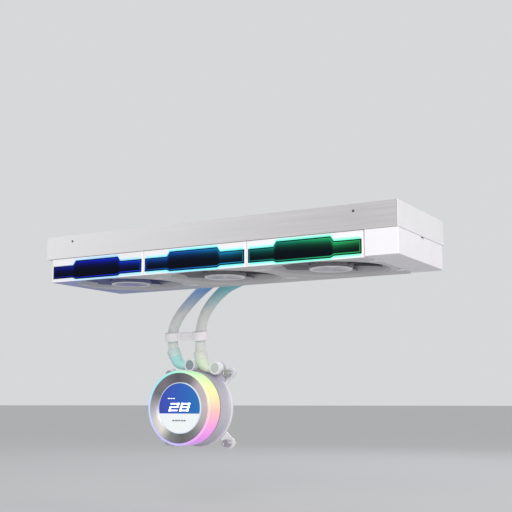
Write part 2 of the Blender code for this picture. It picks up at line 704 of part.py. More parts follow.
def pump_housing():
    """Round body with a wider back flange, a front recess for the motor and a rear impeller chamber."""
    front, body, lip = PUMP_FRONT + RING_DEPTH + 0.5 * MM, PUMP_RADIUS - 0.5 * MM, PUMP_BACK - 3.6 * MM
    profile = [
        (0, PIN_END), (PIN_RADIUS, PIN_END), (PIN_RADIUS, WALL_BACK), (WET_CHAMBER, WALL_BACK),
        (WET_CHAMBER, PUMP_BACK), (FLANGE_RADIUS, PUMP_BACK), (FLANGE_RADIUS, lip), (body, lip - MM),
        (body, front), (MOTOR_RECESS, front), (MOTOR_RECESS, WALL_FRONT), (0, WALL_FRONT),
    ]
    housing = pump_piece("pump_housing", profile, WHITE, 36)
    boss_front, wide = SWIVEL_BACK + GAP, 7 * MM
    ends = [((s.x, boss_front, s.z), (s.x, BOSS_BACK, s.z)) for s in (LEFT_SWIVEL, RIGHT_SWIVEL)]
    low = (LEFT_SWIVEL.x - wide, boss_front + 0.4 * MM, PUMP_Z + 30 * MM)
    high = (RIGHT_SWIVEL.x + wide, BOSS_BACK - 0.2 * MM, RIGHT_SWIVEL.z)
    boolean(housing, box("pump_port_block", low, high), "UNION")
    boolean(housing, cylinders("pump_port_bosses", ends, SWIVEL_BOSS, 20), "UNION")


def pump_face():
    """Light ring, dished bezel, display and the case behind them."""
    front, back = PUMP_FRONT, PUMP_FRONT + RING_DEPTH
    inner, edge = PUMP_RADIUS - RING_WALL, 1.2 * MM
    ring = [
        (inner, back), (PUMP_RADIUS, back), (PUMP_RADIUS, front + edge),
        (PUMP_RADIUS - edge, front), (inner, front),
    ]
    pump_piece("light_ring", ring, GLOW, 36, closed=True)
    dish, hole = inner - GAP, GLASS_RADIUS + GAP
    bezel = [
        (hole, front + 4.4 * MM), (dish, front + 2.6 * MM), (dish, front + 0.6 * MM),
        (hole, front + 2.4 * MM),
    ]
    pump_piece("dished_bezel", bezel, BRUSHED, 36, closed=True)
    glass_back, glass_front = front + 5 * MM, front + 2 * MM
    panel = [(0, glass_back), (GLASS_RADIUS, glass_back), (GLASS_RADIUS, glass_front), (0, glass_front)]
    pump_piece("display_panel", panel, GLASS, 32)
    case_front, floor, wall = front + 5.3 * MM, front + 9 * MM, dish - 2 * MM
    case = [(0, floor), (wall, floor), (wall, back), (dish, back), (dish, case_front), (0, case_front)]
    pump_piece("display_case", case, DARK, 28)


def impeller_vanes():
    """Helper mesh for each straight bar across the impeller's back."""
    made = []
    for angle in (0, 60, 120):
        vane = box(f"impeller_vane_{angle}", -VANE / 2, VANE / 2)
        vane.location = (PUMP_X, 100.5 * MM, PUMP_Z)
        vane.rotation_euler = (0, math.radians(angle), 0)
        made.append(vane)
    return made


def pump_inside():
    """Motor stator in front of the wall, and the impeller and cold plate behind it."""
    low, high, bore, coil = 84 * MM, WALL_FRONT - GAP, 4 * MM, 16 * MM
    stator = [(bore, high), (coil, high), (coil, low), (bore, low)]
    pump_piece("pump_stator", stator, WINDING, 16, closed=True)
    back, middle, front = 101.5 * MM, 99 * MM, 96 * MM
    boss, disc = 9 * MM, 22 * MM
    profile = [
        (IMPELLER_BORE, back), (boss, back), (boss, middle), (disc, middle), (disc, front),
        (IMPELLER_BORE, front),
    ]
    impeller = pump_piece("pump_impeller", profile, DARK, 16, closed=True)
    for vane in impeller_vanes():
        boolean(impeller, vane, "UNION")
    ends = [((PUMP_X, WALL_BACK, PUMP_Z), (PUMP_X, PUMP_BACK, PUMP_Z))]
    boolean(impeller, cylinders("impeller_bore", ends, IMPELLER_BORE, 12), "DIFFERENCE")
    half = COLD_PLATE / 2
    low = (PUMP_X - half, PUMP_BACK + GAP, PUMP_Z - half)
    box("cold_plate", low, (PUMP_X + half, COLD_FACE_Y, PUMP_Z + half), COPPER, 0.8 * MM)


def bracket():
    """Square-holed spider behind the pump's flange, with an ear, a screw and a spring at each socket hole."""
    low, high, wide = PUMP_BACK + GAP, BRACKET_BACK, FLANGE_RADIUS - 2 * MM
    centre, reach = Vector((PUMP_X, 0, PUMP_Z)), BRACKET_PITCH / 2
    plate = pump_piece("mount_bracket", [(0, high), (wide, high), (wide, low), (0, low)], STEEL, 28)
    ears = [centre + Vector((i * reach, 0, j * reach)) for i in (-1, 1) for j in (-1, 1)]
    thick, over = Vector((0, high, 0)), Vector((0, high + MM, 0))
    start, under = Vector((0, low, 0)), Vector((0, low - MM, 0))
    pads = cylinders("bracket_pads", [(ear + start, ear + thick) for ear in ears], EAR_RADIUS, 14)
    boolean(plate, pads, "UNION")
    for number, ear in enumerate(ears):
        out = ear - centre
        length = 0.4 * out.length
        size = Vector((length, high - low, ARM_WIDTH))
        arm = box(f"bracket_arm_{number}", -size / 2, size / 2)
        arm.location = centre + 0.8 * out + (start + thick) / 2
        arm.rotation_euler = (0, -math.atan2(out.z, out.x), 0)
        boolean(plate, arm, "UNION")
    half = Vector((COLD_PLATE / 2 + 0.6 * MM, 0, COLD_PLATE / 2 + 0.6 * MM))
    boolean(plate, box("bracket_window", centre - half + under, centre + half + over), "DIFFERENCE")
    holes = cylinders("bracket_holes", [(ear + under, ear + over) for ear in ears], SOCKET_HOLE, 10)
    boolean(plate, holes, "DIFFERENCE")
    inner, outer = SPRING
    near, far = SCREW_UNDER + GAP, low - GAP
    screw = [
        (0, SCREW_TIP), (SCREW_SHANK, SCREW_TIP - MM), (SCREW_SHANK, SCREW_UNDER),
        (SCREW_HEAD, SCREW_UNDER), (SCREW_HEAD, SCREW_FRONT), (0, SCREW_FRONT),
    ]
    spring = [(inner, far), (outer, far), (outer, near), (inner, near)]
    for number, ear in enumerate(ears, 1):
        turned(f"bracket_screw_{number}", screw, ear, STEEL, 12, False, "Y")
        turned(f"bracket_spring_{number}", spring, ear, STEEL, 10, True, "Y")


def hoses():
    left = hose("left_hose", LEFT_ROUTE)
    right = hose("right_hose", RIGHT_ROUTE)
    inlet = INNER_Y + GAP
    elbow("upper_radiator_elbow", UPPER_PORT, RADIATOR_KNUCKLE, left[0], inlet, PORT_FRONT, PORT_NECK)
    elbow("lower_radiator_elbow", LOWER_PORT, RADIATOR_KNUCKLE, right[0], inlet, PORT_FRONT, PORT_NECK)
    elbow("left_pump_elbow", LEFT_SWIVEL, PUMP_KNUCKLE, left[-1], SWIVEL_BACK, SWIVEL_FRONT, SWIVEL_NECK)
    elbow("right_pump_elbow", RIGHT_SWIVEL, PUMP_KNUCKLE, right[-1], SWIVEL_BACK, SWIVEL_FRONT, SWIVEL_NECK)
    ferrule("left_pump_ferrule", left[-1], left[-2])
    ferrule("right_pump_ferrule", right[-1], right[-2])
    hose_clip()


radiator()
for index, fan_x in enumerate(FAN_CENTRES, 1):
    fan(index, fan_x)
link_clips()
end_cover()
hoses()
pump_housing()
pump_face()
pump_inside()
bracket()
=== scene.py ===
import json
import math

import bmesh
import bpy
from mathutils import Matrix, Vector


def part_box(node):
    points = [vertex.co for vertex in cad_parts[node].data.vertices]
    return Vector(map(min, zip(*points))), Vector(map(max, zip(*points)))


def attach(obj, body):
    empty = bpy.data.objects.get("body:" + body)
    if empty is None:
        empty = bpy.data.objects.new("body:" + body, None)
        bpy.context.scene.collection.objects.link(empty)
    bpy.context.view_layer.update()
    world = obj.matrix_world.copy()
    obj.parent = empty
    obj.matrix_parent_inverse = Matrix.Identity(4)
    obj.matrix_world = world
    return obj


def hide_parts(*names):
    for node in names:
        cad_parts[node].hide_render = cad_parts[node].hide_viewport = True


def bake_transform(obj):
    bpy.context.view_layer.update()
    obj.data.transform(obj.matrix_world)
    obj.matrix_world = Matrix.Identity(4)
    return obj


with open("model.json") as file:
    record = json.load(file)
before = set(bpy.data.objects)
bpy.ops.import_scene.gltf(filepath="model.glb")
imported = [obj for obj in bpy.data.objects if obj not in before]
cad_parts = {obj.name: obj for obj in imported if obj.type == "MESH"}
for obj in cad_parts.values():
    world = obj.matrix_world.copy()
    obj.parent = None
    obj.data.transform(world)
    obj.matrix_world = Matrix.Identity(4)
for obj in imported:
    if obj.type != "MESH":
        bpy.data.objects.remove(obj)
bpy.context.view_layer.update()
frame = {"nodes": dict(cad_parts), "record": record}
bodyOf = {node: body for body, nodes in frame["record"]["behaviour"]["bodies"].items() for node in nodes}
print("frame loaded:", len(frame["nodes"]), "nodes")


# camera, floor and lights

view = {
    "place": (0.4902, -0.8189, -0.1755),
    "turn": 29.67,  # degrees towards -X
    "rise": 8.86,
    "angle": 30.39,
}
studio = {
    "floor": -0.30,
    "floorColour": (0.58, 0.58, 0.585, 1),
    "sky": (0.97, 0.98, 1.0, 1),
    "skyStrength": 0.70,
    "lamps": [
        # place, aimed at, size, watts, colour
        ((0.7, -1.5, 0.35), (0, 0, -0.06), 0.8, 14.5, (1.0, 0.985, 0.985)),
        ((1.5, -0.1, 0.3), (0.1, 0, -0.04), 0.8, 5.5, (1.0, 0.98, 0.985)),
        ((-0.2, 1.3, 0.7), (-0.05, 0, -0.08), 0.8, 3, (0.95, 0.97, 1.0)),
    ],
}


def setCamera():
    camera = bpy.data.objects.new("camera", bpy.data.cameras.new("camera"))
    turn, rise = math.radians(view["turn"]), math.radians(view["rise"])
    ahead = Vector((-math.sin(turn) * math.cos(rise), math.cos(turn) * math.cos(rise), math.sin(rise)))
    camera.location = view["place"]
    camera.rotation_euler = ahead.to_track_quat("-Z", "Y").to_euler()
    camera.data.angle = math.radians(view["angle"])
    camera.data.clip_start, camera.data.clip_end = 0.01, 50
    bpy.context.scene.collection.objects.link(camera)
    bpy.context.scene.camera = camera


def setStudio():
    scene = bpy.context.scene
    scene.view_settings.view_transform = "Standard"
    world = bpy.data.worlds.new("studio")
    world.use_nodes = True
    sky = world.node_tree.nodes["Background"]
    sky.inputs["Color"].default_value = studio["sky"]
    sky.inputs["Strength"].default_value = studio["skyStrength"]
    scene.world = world
    for number, (place, aim, size, watts, colour) in enumerate(studio["lamps"], 1):
        lamp = bpy.data.lights.new(f"softbox{number}", "AREA")
        lamp.shape, lamp.size, lamp.energy, lamp.color = "SQUARE", size, watts, colour
        holder = bpy.data.objects.new(lamp.name, lamp)
        holder.location = place
        holder.rotation_euler = (Vector(aim) - Vector(place)).to_track_quat("-Z", "Y").to_euler()
        scene.collection.objects.link(holder)


def setFloor():
    bm = bmesh.new()
    bmesh.ops.create_grid(bm, x_segments=1, y_segments=1, size=40)
    bmesh.ops.translate(bm, vec=(0, 0, studio["floor"]), verts=bm.verts)
    mesh = bpy.data.meshes.new("floor")
    bm.to_mesh(mesh)
    bm.free()
    paper, tree, shader = startFinish("floorPaper", {"Base Color": studio["floorColour"], "Roughness": 0.9})
    clear = addNode(tree, "ShaderNodeBsdfTransparent")
    behind = addNode(tree, "ShaderNodeNewGeometry").outputs["Backfacing"]
    both = addNode(tree, "ShaderNodeMixShader", {0: behind, 1: shader.outputs[0], 2: clear.outputs[0]})
    tree.links.new(both.outputs[0], tree.nodes["Material Output"].inputs["Surface"])
    mesh.materials.append(paper)
    floor = bpy.data.objects.new("floor", mesh)
    bpy.context.scene.collection.objects.link(floor)


# node helpers


def startFinish(name, look):
    finish = bpy.data.materials.new(name)
    finish.use_nodes = True
    shader = finish.node_tree.nodes["Principled BSDF"]
    for socket, value in look.items():
        shader.inputs[socket].default_value = value
    return finish, finish.node_tree, shader


def addNode(tree, kind, inputs=None, **settings):
    node = tree.nodes.new(kind)
    for key, value in settings.items():
        setattr(node, key, value)
    for socket, value in (inputs or {}).items():
        if isinstance(value, bpy.types.NodeSocket):
            tree.links.new(value, node.inputs[socket])
        else:
            node.inputs[socket].default_value = value
    return node


def calc(tree, operation, *values, clamped=False):
    inputs = dict(enumerate(values))
    return addNode(tree, "ShaderNodeMath", inputs, operation=operation, use_clamp=clamped).outputs[0]


def mixed(tree, share, first, second, blend="MIX"):
    inputs = {0: share, 6: first, 7: second}
    return addNode(tree, "ShaderNodeMix", inputs, data_type="RGBA", blend_type=blend).outputs[2]


def ramped(tree, value, stops):
    node = addNode(tree, "ShaderNodeValToRGB", {0: value})
    elements = node.color_ramp.elements
    while len(elements) < len(stops):
        elements.new(0.5)
    for element, (place, colour) in zip(elements, stops):
        element.position = place
        element.color = (*colour, 1)
    return node.outputs[0]


def spread(tree, value, low, high, first=0.0, last=1.0):
    inputs = {"Value": value, "From Min": low, "From Max": high, "To Min": first, "To Max": last}
    return addNode(tree, "ShaderNodeMapRange", inputs).outputs[0]


def noise(tree, scale, detail=3, stretch=(1, 1, 1), place=None):
    if place is None:
        place = addNode(tree, "ShaderNodeTexCoord").outputs["Object"]
    mapped = addNode(tree, "ShaderNodeMapping", {"Vector": place, "Scale": stretch}).outputs[0]
    return addNode(
        tree, "ShaderNodeTexNoise", {"Vector": mapped, "Scale": scale, "Detail": detail}
    ).outputs[0]


def bumped(tree, shader, height, distance, strength=0.5):
    inputs = {"Height": height, "Distance": distance, "Strength": strength}
    bump = addNode(tree, "ShaderNodeBump", inputs)
    tree.links.new(bump.outputs[0], shader.inputs["Normal"])
    return bump


# mesh helpers


def turned(profile, centre=(0, 0, 0), axis="Z", steps=64, closed=False):
    bm = bmesh.new()
    upright = axis == "Z"
    points = [bm.verts.new((r, 0, h) if upright else (r, h, 0)) for r, h in profile]
    edges = [bm.edges.new(pair) for pair in zip(points, points[1:])]
    if closed:
        edges.append(bm.edges.new((points[-1], points[0])))
    bmesh.ops.spin(
        bm, geom=[*points, *edges], cent=(0, 0, 0), axis=(0, 0, 1) if upright else (0, 1, 0),
        angle=2 * math.pi, steps=steps, use_merge=True,
    )
    bmesh.ops.remove_doubles(bm, verts=bm.verts, dist=1e-7)
    bmesh.ops.translate(bm, vec=centre, verts=bm.verts)
    bmesh.ops.recalc_face_normals(bm, faces=bm.faces)
    return bm


def block(low, high, edge=0.0, segments=2):
    low, high = Vector(low), Vector(high)
    bm = bmesh.new()
    bmesh.ops.create_cube(bm, size=1)
    bmesh.ops.scale(bm, vec=high - low, verts=bm.verts)
    if edge:
        roundEdges(bm, bm.edges[:], edge, segments)
    bmesh.ops.translate(bm, vec=(low + high) / 2, verts=bm.verts)
    return bm


def roundEdges(bm, edges, width, segments=2):
    bmesh.ops.bevel(
        bm, geom=edges, offset=width, segments=segments, profile=0.5, affect="EDGES", material=-1,
        clamp_overlap=True,
    )


def sharpEdges(bm, degrees=35):
    return [e for e in bm.edges if len(e.link_faces) == 2 and e.calc_face_angle(0) > math.radians(degrees)]


def merged(*meshes):
    base = meshes[0]
    for other in meshes[1:]:
        holder = bpy.data.meshes.new("holder")
        other.to_mesh(holder)
        other.free()
        base.from_mesh(holder)
        bpy.data.meshes.remove(holder)
    return base


def cadCopy(node, edge=0.0003, segments=2):
    bm = bmesh.new()
    bm.from_mesh(frame["nodes"][node].data)
    bmesh.ops.remove_doubles(bm, verts=bm.verts, dist=2e-6)
    bmesh.ops.dissolve_limit(bm, angle_limit=math.radians(0.8), verts=bm.verts, edges=bm.edges)
    if edge:
        roundEdges(bm, sharpEdges(bm), edge, segments)
    bmesh.ops.triangulate(bm, faces=[f for f in bm.faces if len(f.verts) > 4], ngon_method="EAR_CLIP")
    return bm


def aimed(bm, start, way):
    turn = Vector((0, 0, 1)).rotation_difference(Vector(way)).to_matrix().to_4x4()
    bmesh.ops.transform(bm, matrix=Matrix.Translation(start) @ turn, verts=bm.verts)
    return bm


def swept(points, radius, around=8, narrow=None):
    curve = bpy.data.curves.new("sweep", "CURVE")
    curve.dimensions = "3D"
    curve.bevel_depth, curve.bevel_resolution = radius, (around - 4) // 2
    curve.use_fill_caps = True
    spline = curve.splines.new("POLY")
    spline.points.add(len(points) - 1)
    for number, (point, place) in enumerate(zip(spline.points, points)):
        point.co = (*place, 1)
        if narrow:  # share of the radius at the start, and where it reaches the whole
            share = min(number / (narrow[1] * (len(points) - 1)), 1)
            point.radius = narrow[0] + (1 - narrow[0]) * share * share * (3 - 2 * share)
    holder = bpy.data.objects.new("sweep", curve)
    bpy.context.scene.collection.objects.link(holder)
    bpy.context.view_layer.update()
    mesh = bpy.data.meshes.new_from_object(holder.evaluated_get(bpy.context.evaluated_depsgraph_get()))
    bpy.data.objects.remove(holder)
    bpy.data.curves.remove(curve)
    bm = bmesh.new()
    bm.from_mesh(mesh)
    bpy.data.meshes.remove(mesh)
    return bm


def makePiece(name, bm, finishes, body="cooler", stands=(), smoothTo=40, weighted=False):
    for face in bm.faces:
        face.smooth = True
    for edge in bm.edges:
        edge.smooth = len(edge.link_faces) == 2 and edge.calc_face_angle(0) < math.radians(smoothTo)
    mesh = bpy.data.meshes.new(name)
    bm.to_mesh(mesh)
    bm.free()
    for finish in finishes if isinstance(finishes, (list, tuple)) else [finishes]:
        mesh.materials.append(finish)
    piece = bpy.data.objects.new(name, mesh)
    bpy.context.scene.collection.objects.link(piece)
    if weighted:
        piece.modifiers.new("evenNormals", "WEIGHTED_NORMAL").keep_sharp = True
    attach(piece, body)
    if stands:
        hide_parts(*([stands] if isinstance(stands, str) else stands))
    return piece


def paint(bm, number, choose=lambda face: True):
    for face in bm.faces:
        if choose(face):
            face.material_index = number
    return bm


def smoothRoute(points, step):
    ends = [2 * points[0] - points[1], *points, 2 * points[-1] - points[-2]]
    fine = []
    for a, b, c, d in zip(ends, ends[1:], ends[2:], ends[3:]):
        for i in range(24):
            t = i / 24
            bend = (2 * a - 5 * b + 4 * c - d) * t * t + (3 * b - a - 3 * c + d) * t ** 3
            fine.append(0.5 * (2 * b + (c - a) * t + bend))
    fine.append(points[-1])
    lengths = [0.0]
    for one, two in zip(fine, fine[1:]):
        lengths.append(lengths[-1] + (two - one).length)
    count = round(lengths[-1] / step)
    route, place = [], 0
    for i in range(count + 1):
        target = lengths[-1] * i / count
        while place < len(fine) - 2 and lengths[place + 1] < target:
            place += 1
        share = (target - lengths[place]) / (lengths[place + 1] - lengths[place])
        route.append(fine[place].lerp(fine[place + 1], min(max(share, 0), 1)))
    return route, lengths[-1]


setCamera()
setStudio()
setFloor()
print("camera, floor and lamps set")


# finishes


def mouldedFinish(name, look):
    finish, tree, shader = startFinish(name, {"Coat Weight": look.get("coat", 0.0), "Coat Roughness": 0.25})
    cloud = noise(tree, look.get("cloud", 40), 4)
    colour = ramped(tree, cloud, [(0.3, look["shade"]), (0.7, look["colour"])])
    tree.links.new(colour, shader.inputs["Base Color"])
    grain = noise(tree, look.get("grain", 1800), 2)
    rough = spread(tree, noise(tree, 260, 3), 0.3, 0.7, look["rough"] - 0.06, look["rough"] + 0.08)
    tree.links.new(rough, shader.inputs["Roughness"])
    bumped(tree, shader, grain, look.get("depth", 0.00006), look.get("strength", 0.35))
    return finish


def brushedFinish(name, look):
    finish, tree, shader = startFinish(
        name, {"Metallic": look["metal"], "Coat Weight": look.get("coat", 0.0)}
    )
    streaks = noise(tree, 1, 5, look["stretch"])
    wide = noise(tree, 1, 2, tuple(s * 0.12 for s in look["stretch"]))
    both = calc(tree, "ADD", calc(tree, "MULTIPLY", streaks, 0.65), calc(tree, "MULTIPLY", wide, 0.35))
    tone = ramped(tree, both, [(0.3, look["shade"]), (0.7, look["colour"])])
    # painted sheen: the plate turns an even, lighter grey towards -X
    if "fall" in look:
        place = addNode(tree, "ShaderNodeTexCoord").outputs["Object"]
        across = addNode(tree, "ShaderNodeSeparateXYZ", {0: place}).outputs["X"]
        tone = mixed(tree, spread(tree, across, 0.16, -0.2), tone, look["fall"])
    tree.links.new(tone, shader.inputs["Base Color"])
    tree.links.new(
        spread(tree, streaks, 0.3, 0.7, look["rough"] - 0.07, look["rough"] + 0.1),
        shader.inputs["Roughness"]
    )
    bumped(tree, shader, streaks, look.get("depth", 0.00003), 0.4)
    return finish


fanRow = {"left": -0.193, "pitch": 0.12, "top": -0.0243}


def windowField(tree):
    place = addNode(tree, "ShaderNodeTexCoord").outputs["Object"]
    parts = addNode(tree, "ShaderNodeSeparateXYZ", {0: place}).outputs
    along = calc(tree, "MODULO", calc(tree, "SUBTRACT", parts["X"], fanRow["left"]), fanRow["pitch"])
    side = calc(tree, "ABSOLUTE", calc(tree, "SUBTRACT", along, fanRow["pitch"] / 2))
    height = calc(tree, "SUBTRACT", parts["Z"], fanRow["top"])
    crown = spread(tree, side, 0.031, 0.0277)
    above = calc(tree, "SUBTRACT", height, spread(tree, crown, 0, 1, -0.0077, -0.0030))
    below = calc(tree, "SUBTRACT", spread(tree, crown, 0, 1, -0.0210, -0.0227), height)
    beside = calc(tree, "SUBTRACT", side, 0.058)
    return parts["X"], above, below, beside, parts["Y"]


haloLook = [
    (0.0, (0.75, 0.86, 0.98)), (0.08, (0.35, 0.70, 1.0)), (0.20, (0.12, 0.50, 0.95)),
    (0.36, (0.12, 0.68, 0.95)),
    (0.50, (0.04, 0.72, 0.88)), (0.64, (0.06, 0.78, 0.80)), (0.80, (0.06, 0.80, 0.55)),
    (1.0, (0.10, 0.85, 0.50)),
]
haloReach = [(0.0, 0.05), (0.06, 0.15), (0.09, 0.75), (0.26, 0.8), (0.40, 0.9), (1.0, 1.0)]
windowLook = [
    (0.0, (0.004, 0.01, 0.24)), (0.17, (0.006, 0.02, 0.72)), (0.32, (0.006, 0.06, 0.85)),
    (0.36, (0.004, 0.08, 0.42)),
    (0.50, (0.006, 0.16, 0.62)), (0.62, (0.01, 0.34, 0.66)), (0.68, (0.004, 0.20, 0.20)),
    (0.80, (0.01, 0.34, 0.18)),
    (0.92, (0.03, 0.60, 0.20)), (1.0, (0.03, 0.40, 0.09)),
]


def alongFans(tree, across):
    return spread(tree, across, fanRow["left"], fanRow["left"] + 3 * fanRow["pitch"])


# white shell with a painted glow round the windows, a painted white glow strip at each window's end, painted shade
# on its downward faces and painted blue light under the first fan
def fanFrameFinish(look):
    finish, tree, shader = startFinish(
        "fanShell", {"Roughness": look["rough"], "Emission Strength": look["glow"]}
    )
    cloud = noise(tree, 40, 4)
    plain = ramped(tree, cloud, [(0.3, look["shade"]), (0.7, look["colour"])])
    across, above, below, beside, depth = windowField(tree)
    # painted glow on the shell, strongest at each window's edge and fading away from it
    reach = calc(tree, "MAXIMUM", calc(tree, "MAXIMUM", above, below), 0.0)
    near = calc(
        tree, "POWER", math.e,
        calc(tree, "MULTIPLY", calc(tree, "POWER", reach, 2.0), -1 / look["fade"] ** 2)
    )
    inEnds = spread(tree, beside, 0.0, -0.002)
    normal = addNode(tree, "ShaderNodeNewGeometry").outputs["Normal"]
    front = spread(tree, addNode(tree, "ShaderNodeSeparateXYZ", {0: normal}).outputs["Y"], -0.3, -0.8)
    front = calc(tree, "MULTIPLY", front, spread(tree, depth, -0.0576, -0.0590))
    share = alongFans(tree, across)
    level = ramped(tree, share, [(p, (v, v, v)) for p, v in haloReach])
    glow = calc(
        tree, "MULTIPLY", calc(tree, "MULTIPLY", near, inEnds), calc(tree, "MULTIPLY", front, level)
    )
    tint = ramped(tree, share, haloLook)
    down = spread(tree, addNode(tree, "ShaderNodeSeparateXYZ", {0: normal}).outputs["Z"], -0.2, -0.8)
    # painted blue light on the downward faces under the first fan
    paintedBlueLight = calc(tree, "MULTIPLY", down, spread(tree, across, -0.07, -0.17, 0.0, look["paintedBlueLight"]))
    # painted shade: downward faces are darkened towards grey
    plain = mixed(tree, calc(tree, "MULTIPLY", down, 0.42), plain, (0.16, 0.16, 0.165, 1))
    plain = mixed(tree, paintedBlueLight, plain, (0.24, 0.31, 0.72, 1))
    # painted white glow strip at each window's end
    bar = calc(
        tree, "MULTIPLY", spread(tree, beside, 0.0004, 0.0009),
        spread(tree, calc(tree, "MAXIMUM", above, below), 0.0006, -0.0006)
    )
    bar = calc(tree, "MULTIPLY", calc(tree, "MULTIPLY", bar, front), 0.35)
    tree.links.new(mixed(tree, glow, plain, tint), shader.inputs["Base Color"])
    lit = mixed(tree, glow, (0, 0, 0, 1), tint)
    tree.links.new(mixed(tree, bar, lit, (0.9, 0.95, 1.0, 1)), shader.inputs["Emission Color"])
    bumped(tree, shader, noise(tree, 1800, 2), 0.00006, 0.35)
    return finish


# dark glass, a thin lit line inside its rim, and light falling off below its top edge
def windowFinish(look):
    finish, tree, shader = startFinish(
        "litWindow",
        {
            "Base Color": (0.003, 0.004, 0.008, 1), "Roughness": 0.12, "Specular IOR Level": 0.03,
            "Emission Strength": look["glow"]
        }
    )
    across, above, below, beside = windowField(tree)[:4]
    rim = calc(tree, "MAXIMUM", calc(tree, "MAXIMUM", above, below), beside)
    line = calc(tree, "MULTIPLY", spread(tree, rim, -0.0022, -0.0017), spread(tree, rim, -0.0010, -0.0014))
    line = calc(tree, "MULTIPLY", line, look["line"])
    inside = spread(tree, rim, -0.0010, -0.0026)
    fall = calc(tree, "POWER", math.e, calc(tree, "MULTIPLY", above, 1 / look["fade"]))
    cloud = spread(tree, noise(tree, 18, 2), 0.3, 0.7, 0.75, 1.25)
    wash = calc(tree, "MULTIPLY", calc(tree, "MULTIPLY", fall, inside), cloud)
    total = calc(tree, "MAXIMUM", wash, line)
    total = calc(tree, "ADD", total, 0.002)
    tint = ramped(tree, alongFans(tree, across), windowLook)
    tree.links.new(mixed(tree, total, (0, 0, 0, 1), tint), shader.inputs["Emission Color"])
    tree.links.new(spread(tree, noise(tree, 60, 3), 0.3, 0.7, 0.08, 0.16), shader.inputs["Roughness"])
    return finish


def roundField(tree, centre):
    place = addNode(tree, "ShaderNodeTexCoord").outputs["Object"]
    shifted = addNode(
        tree, "ShaderNodeMapping", {"Vector": place, "Location": tuple(-c for c in centre)}
    ).outputs[0]
    parts = addNode(tree, "ShaderNodeSeparateXYZ", {0: shifted}).outputs
    angle = calc(tree, "ARCTAN2", parts["Z"], parts["X"])
    radius = calc(
        tree, "SQRT",
        calc(tree, "ADD", calc(tree, "POWER", parts["X"], 2.0), calc(tree, "POWER", parts["Z"], 2.0))
    )
    return spread(tree, angle, -math.pi, math.pi), radius, parts


pumpAxis = (-0.110, 0.0, -0.181)
ringColours = [
    (0.0, (0.42, 0.60, 1.0)), (0.10, (0.48, 0.50, 1.0)), (0.25, (0.50, 0.34, 0.95)),
    (0.34, (0.85, 0.22, 0.95)),
    (0.42, (1.0, 0.32, 0.75)), (0.48, (1.0, 0.48, 0.45)), (0.54, (1.0, 0.78, 0.35)),
    (0.60, (0.90, 0.98, 0.36)),
    (0.69, (0.55, 0.98, 0.45)), (0.77, (0.22, 0.92, 0.62)), (0.86, (0.15, 0.85, 0.88)),
    (1.0, (0.42, 0.60, 1.0)),
]
# painted highlight and shade sectors round the bezel, standing for its reflections
bezelSheenSectors = [
    (0.0, (0.54, 0.52, 0.54)), (0.06, (0.79, 0.78, 0.74)), (0.13, (0.90, 0.88, 0.79)),
    (0.19, (0.28, 0.29, 0.29)),
    (0.27, (0.15, 0.15, 0.15)), (0.35, (0.26, 0.26, 0.26)), (0.43, (0.64, 0.58, 0.58)),
    (0.52, (0.92, 0.79, 0.82)),
    (0.62, (0.84, 0.74, 0.76)), (0.68, (0.26, 0.24, 0.26)), (0.76, (0.13, 0.13, 0.15)),
    (0.85, (0.26, 0.24, 0.27)),
    (0.92, (0.20, 0.20, 0.22)), (1.0, (0.54, 0.52, 0.54)),
]


def ringFinish(look):
    finish, tree, shader = startFinish("lightRing", {"Roughness": 0.35, "Emission Strength": look["glow"]})
    angle, _, parts = roundField(tree, pumpAxis)
    tint = ramped(tree, angle, ringColours)
    depth = spread(tree, parts["Y"], 0.0600, 0.0645, look["frontShare"], 1.0)
    pale = mixed(tree, calc(tree, "MULTIPLY", depth, look["richness"]), (0.85, 0.88, 0.95, 1), tint)
    # painted shade: near-black band at the back edge, where the ring meets the housing
    seam = spread(tree, parts["Y"], 0.0814, 0.0819)
    pale = mixed(tree, seam, pale, (0.02, 0.02, 0.03, 1))
    cloud = spread(tree, noise(tree, 90, 2), 0.3, 0.7, 0.94, 1.06)
    tree.links.new(mixed(tree, 1.0, pale, (0.72, 0.72, 0.72, 1), "MULTIPLY"), shader.inputs["Base Color"])
    tree.links.new(
        mixed(
            tree, 1.0, pale,
            addNode(tree, "ShaderNodeCombineXYZ", {0: cloud, 1: cloud, 2: cloud}).outputs[0], "MULTIPLY"
        ),
        shader.inputs["Emission Color"]
    )
    bumped(tree, shader, noise(tree, 1200, 2), 0.00004, 0.3)
    return finish


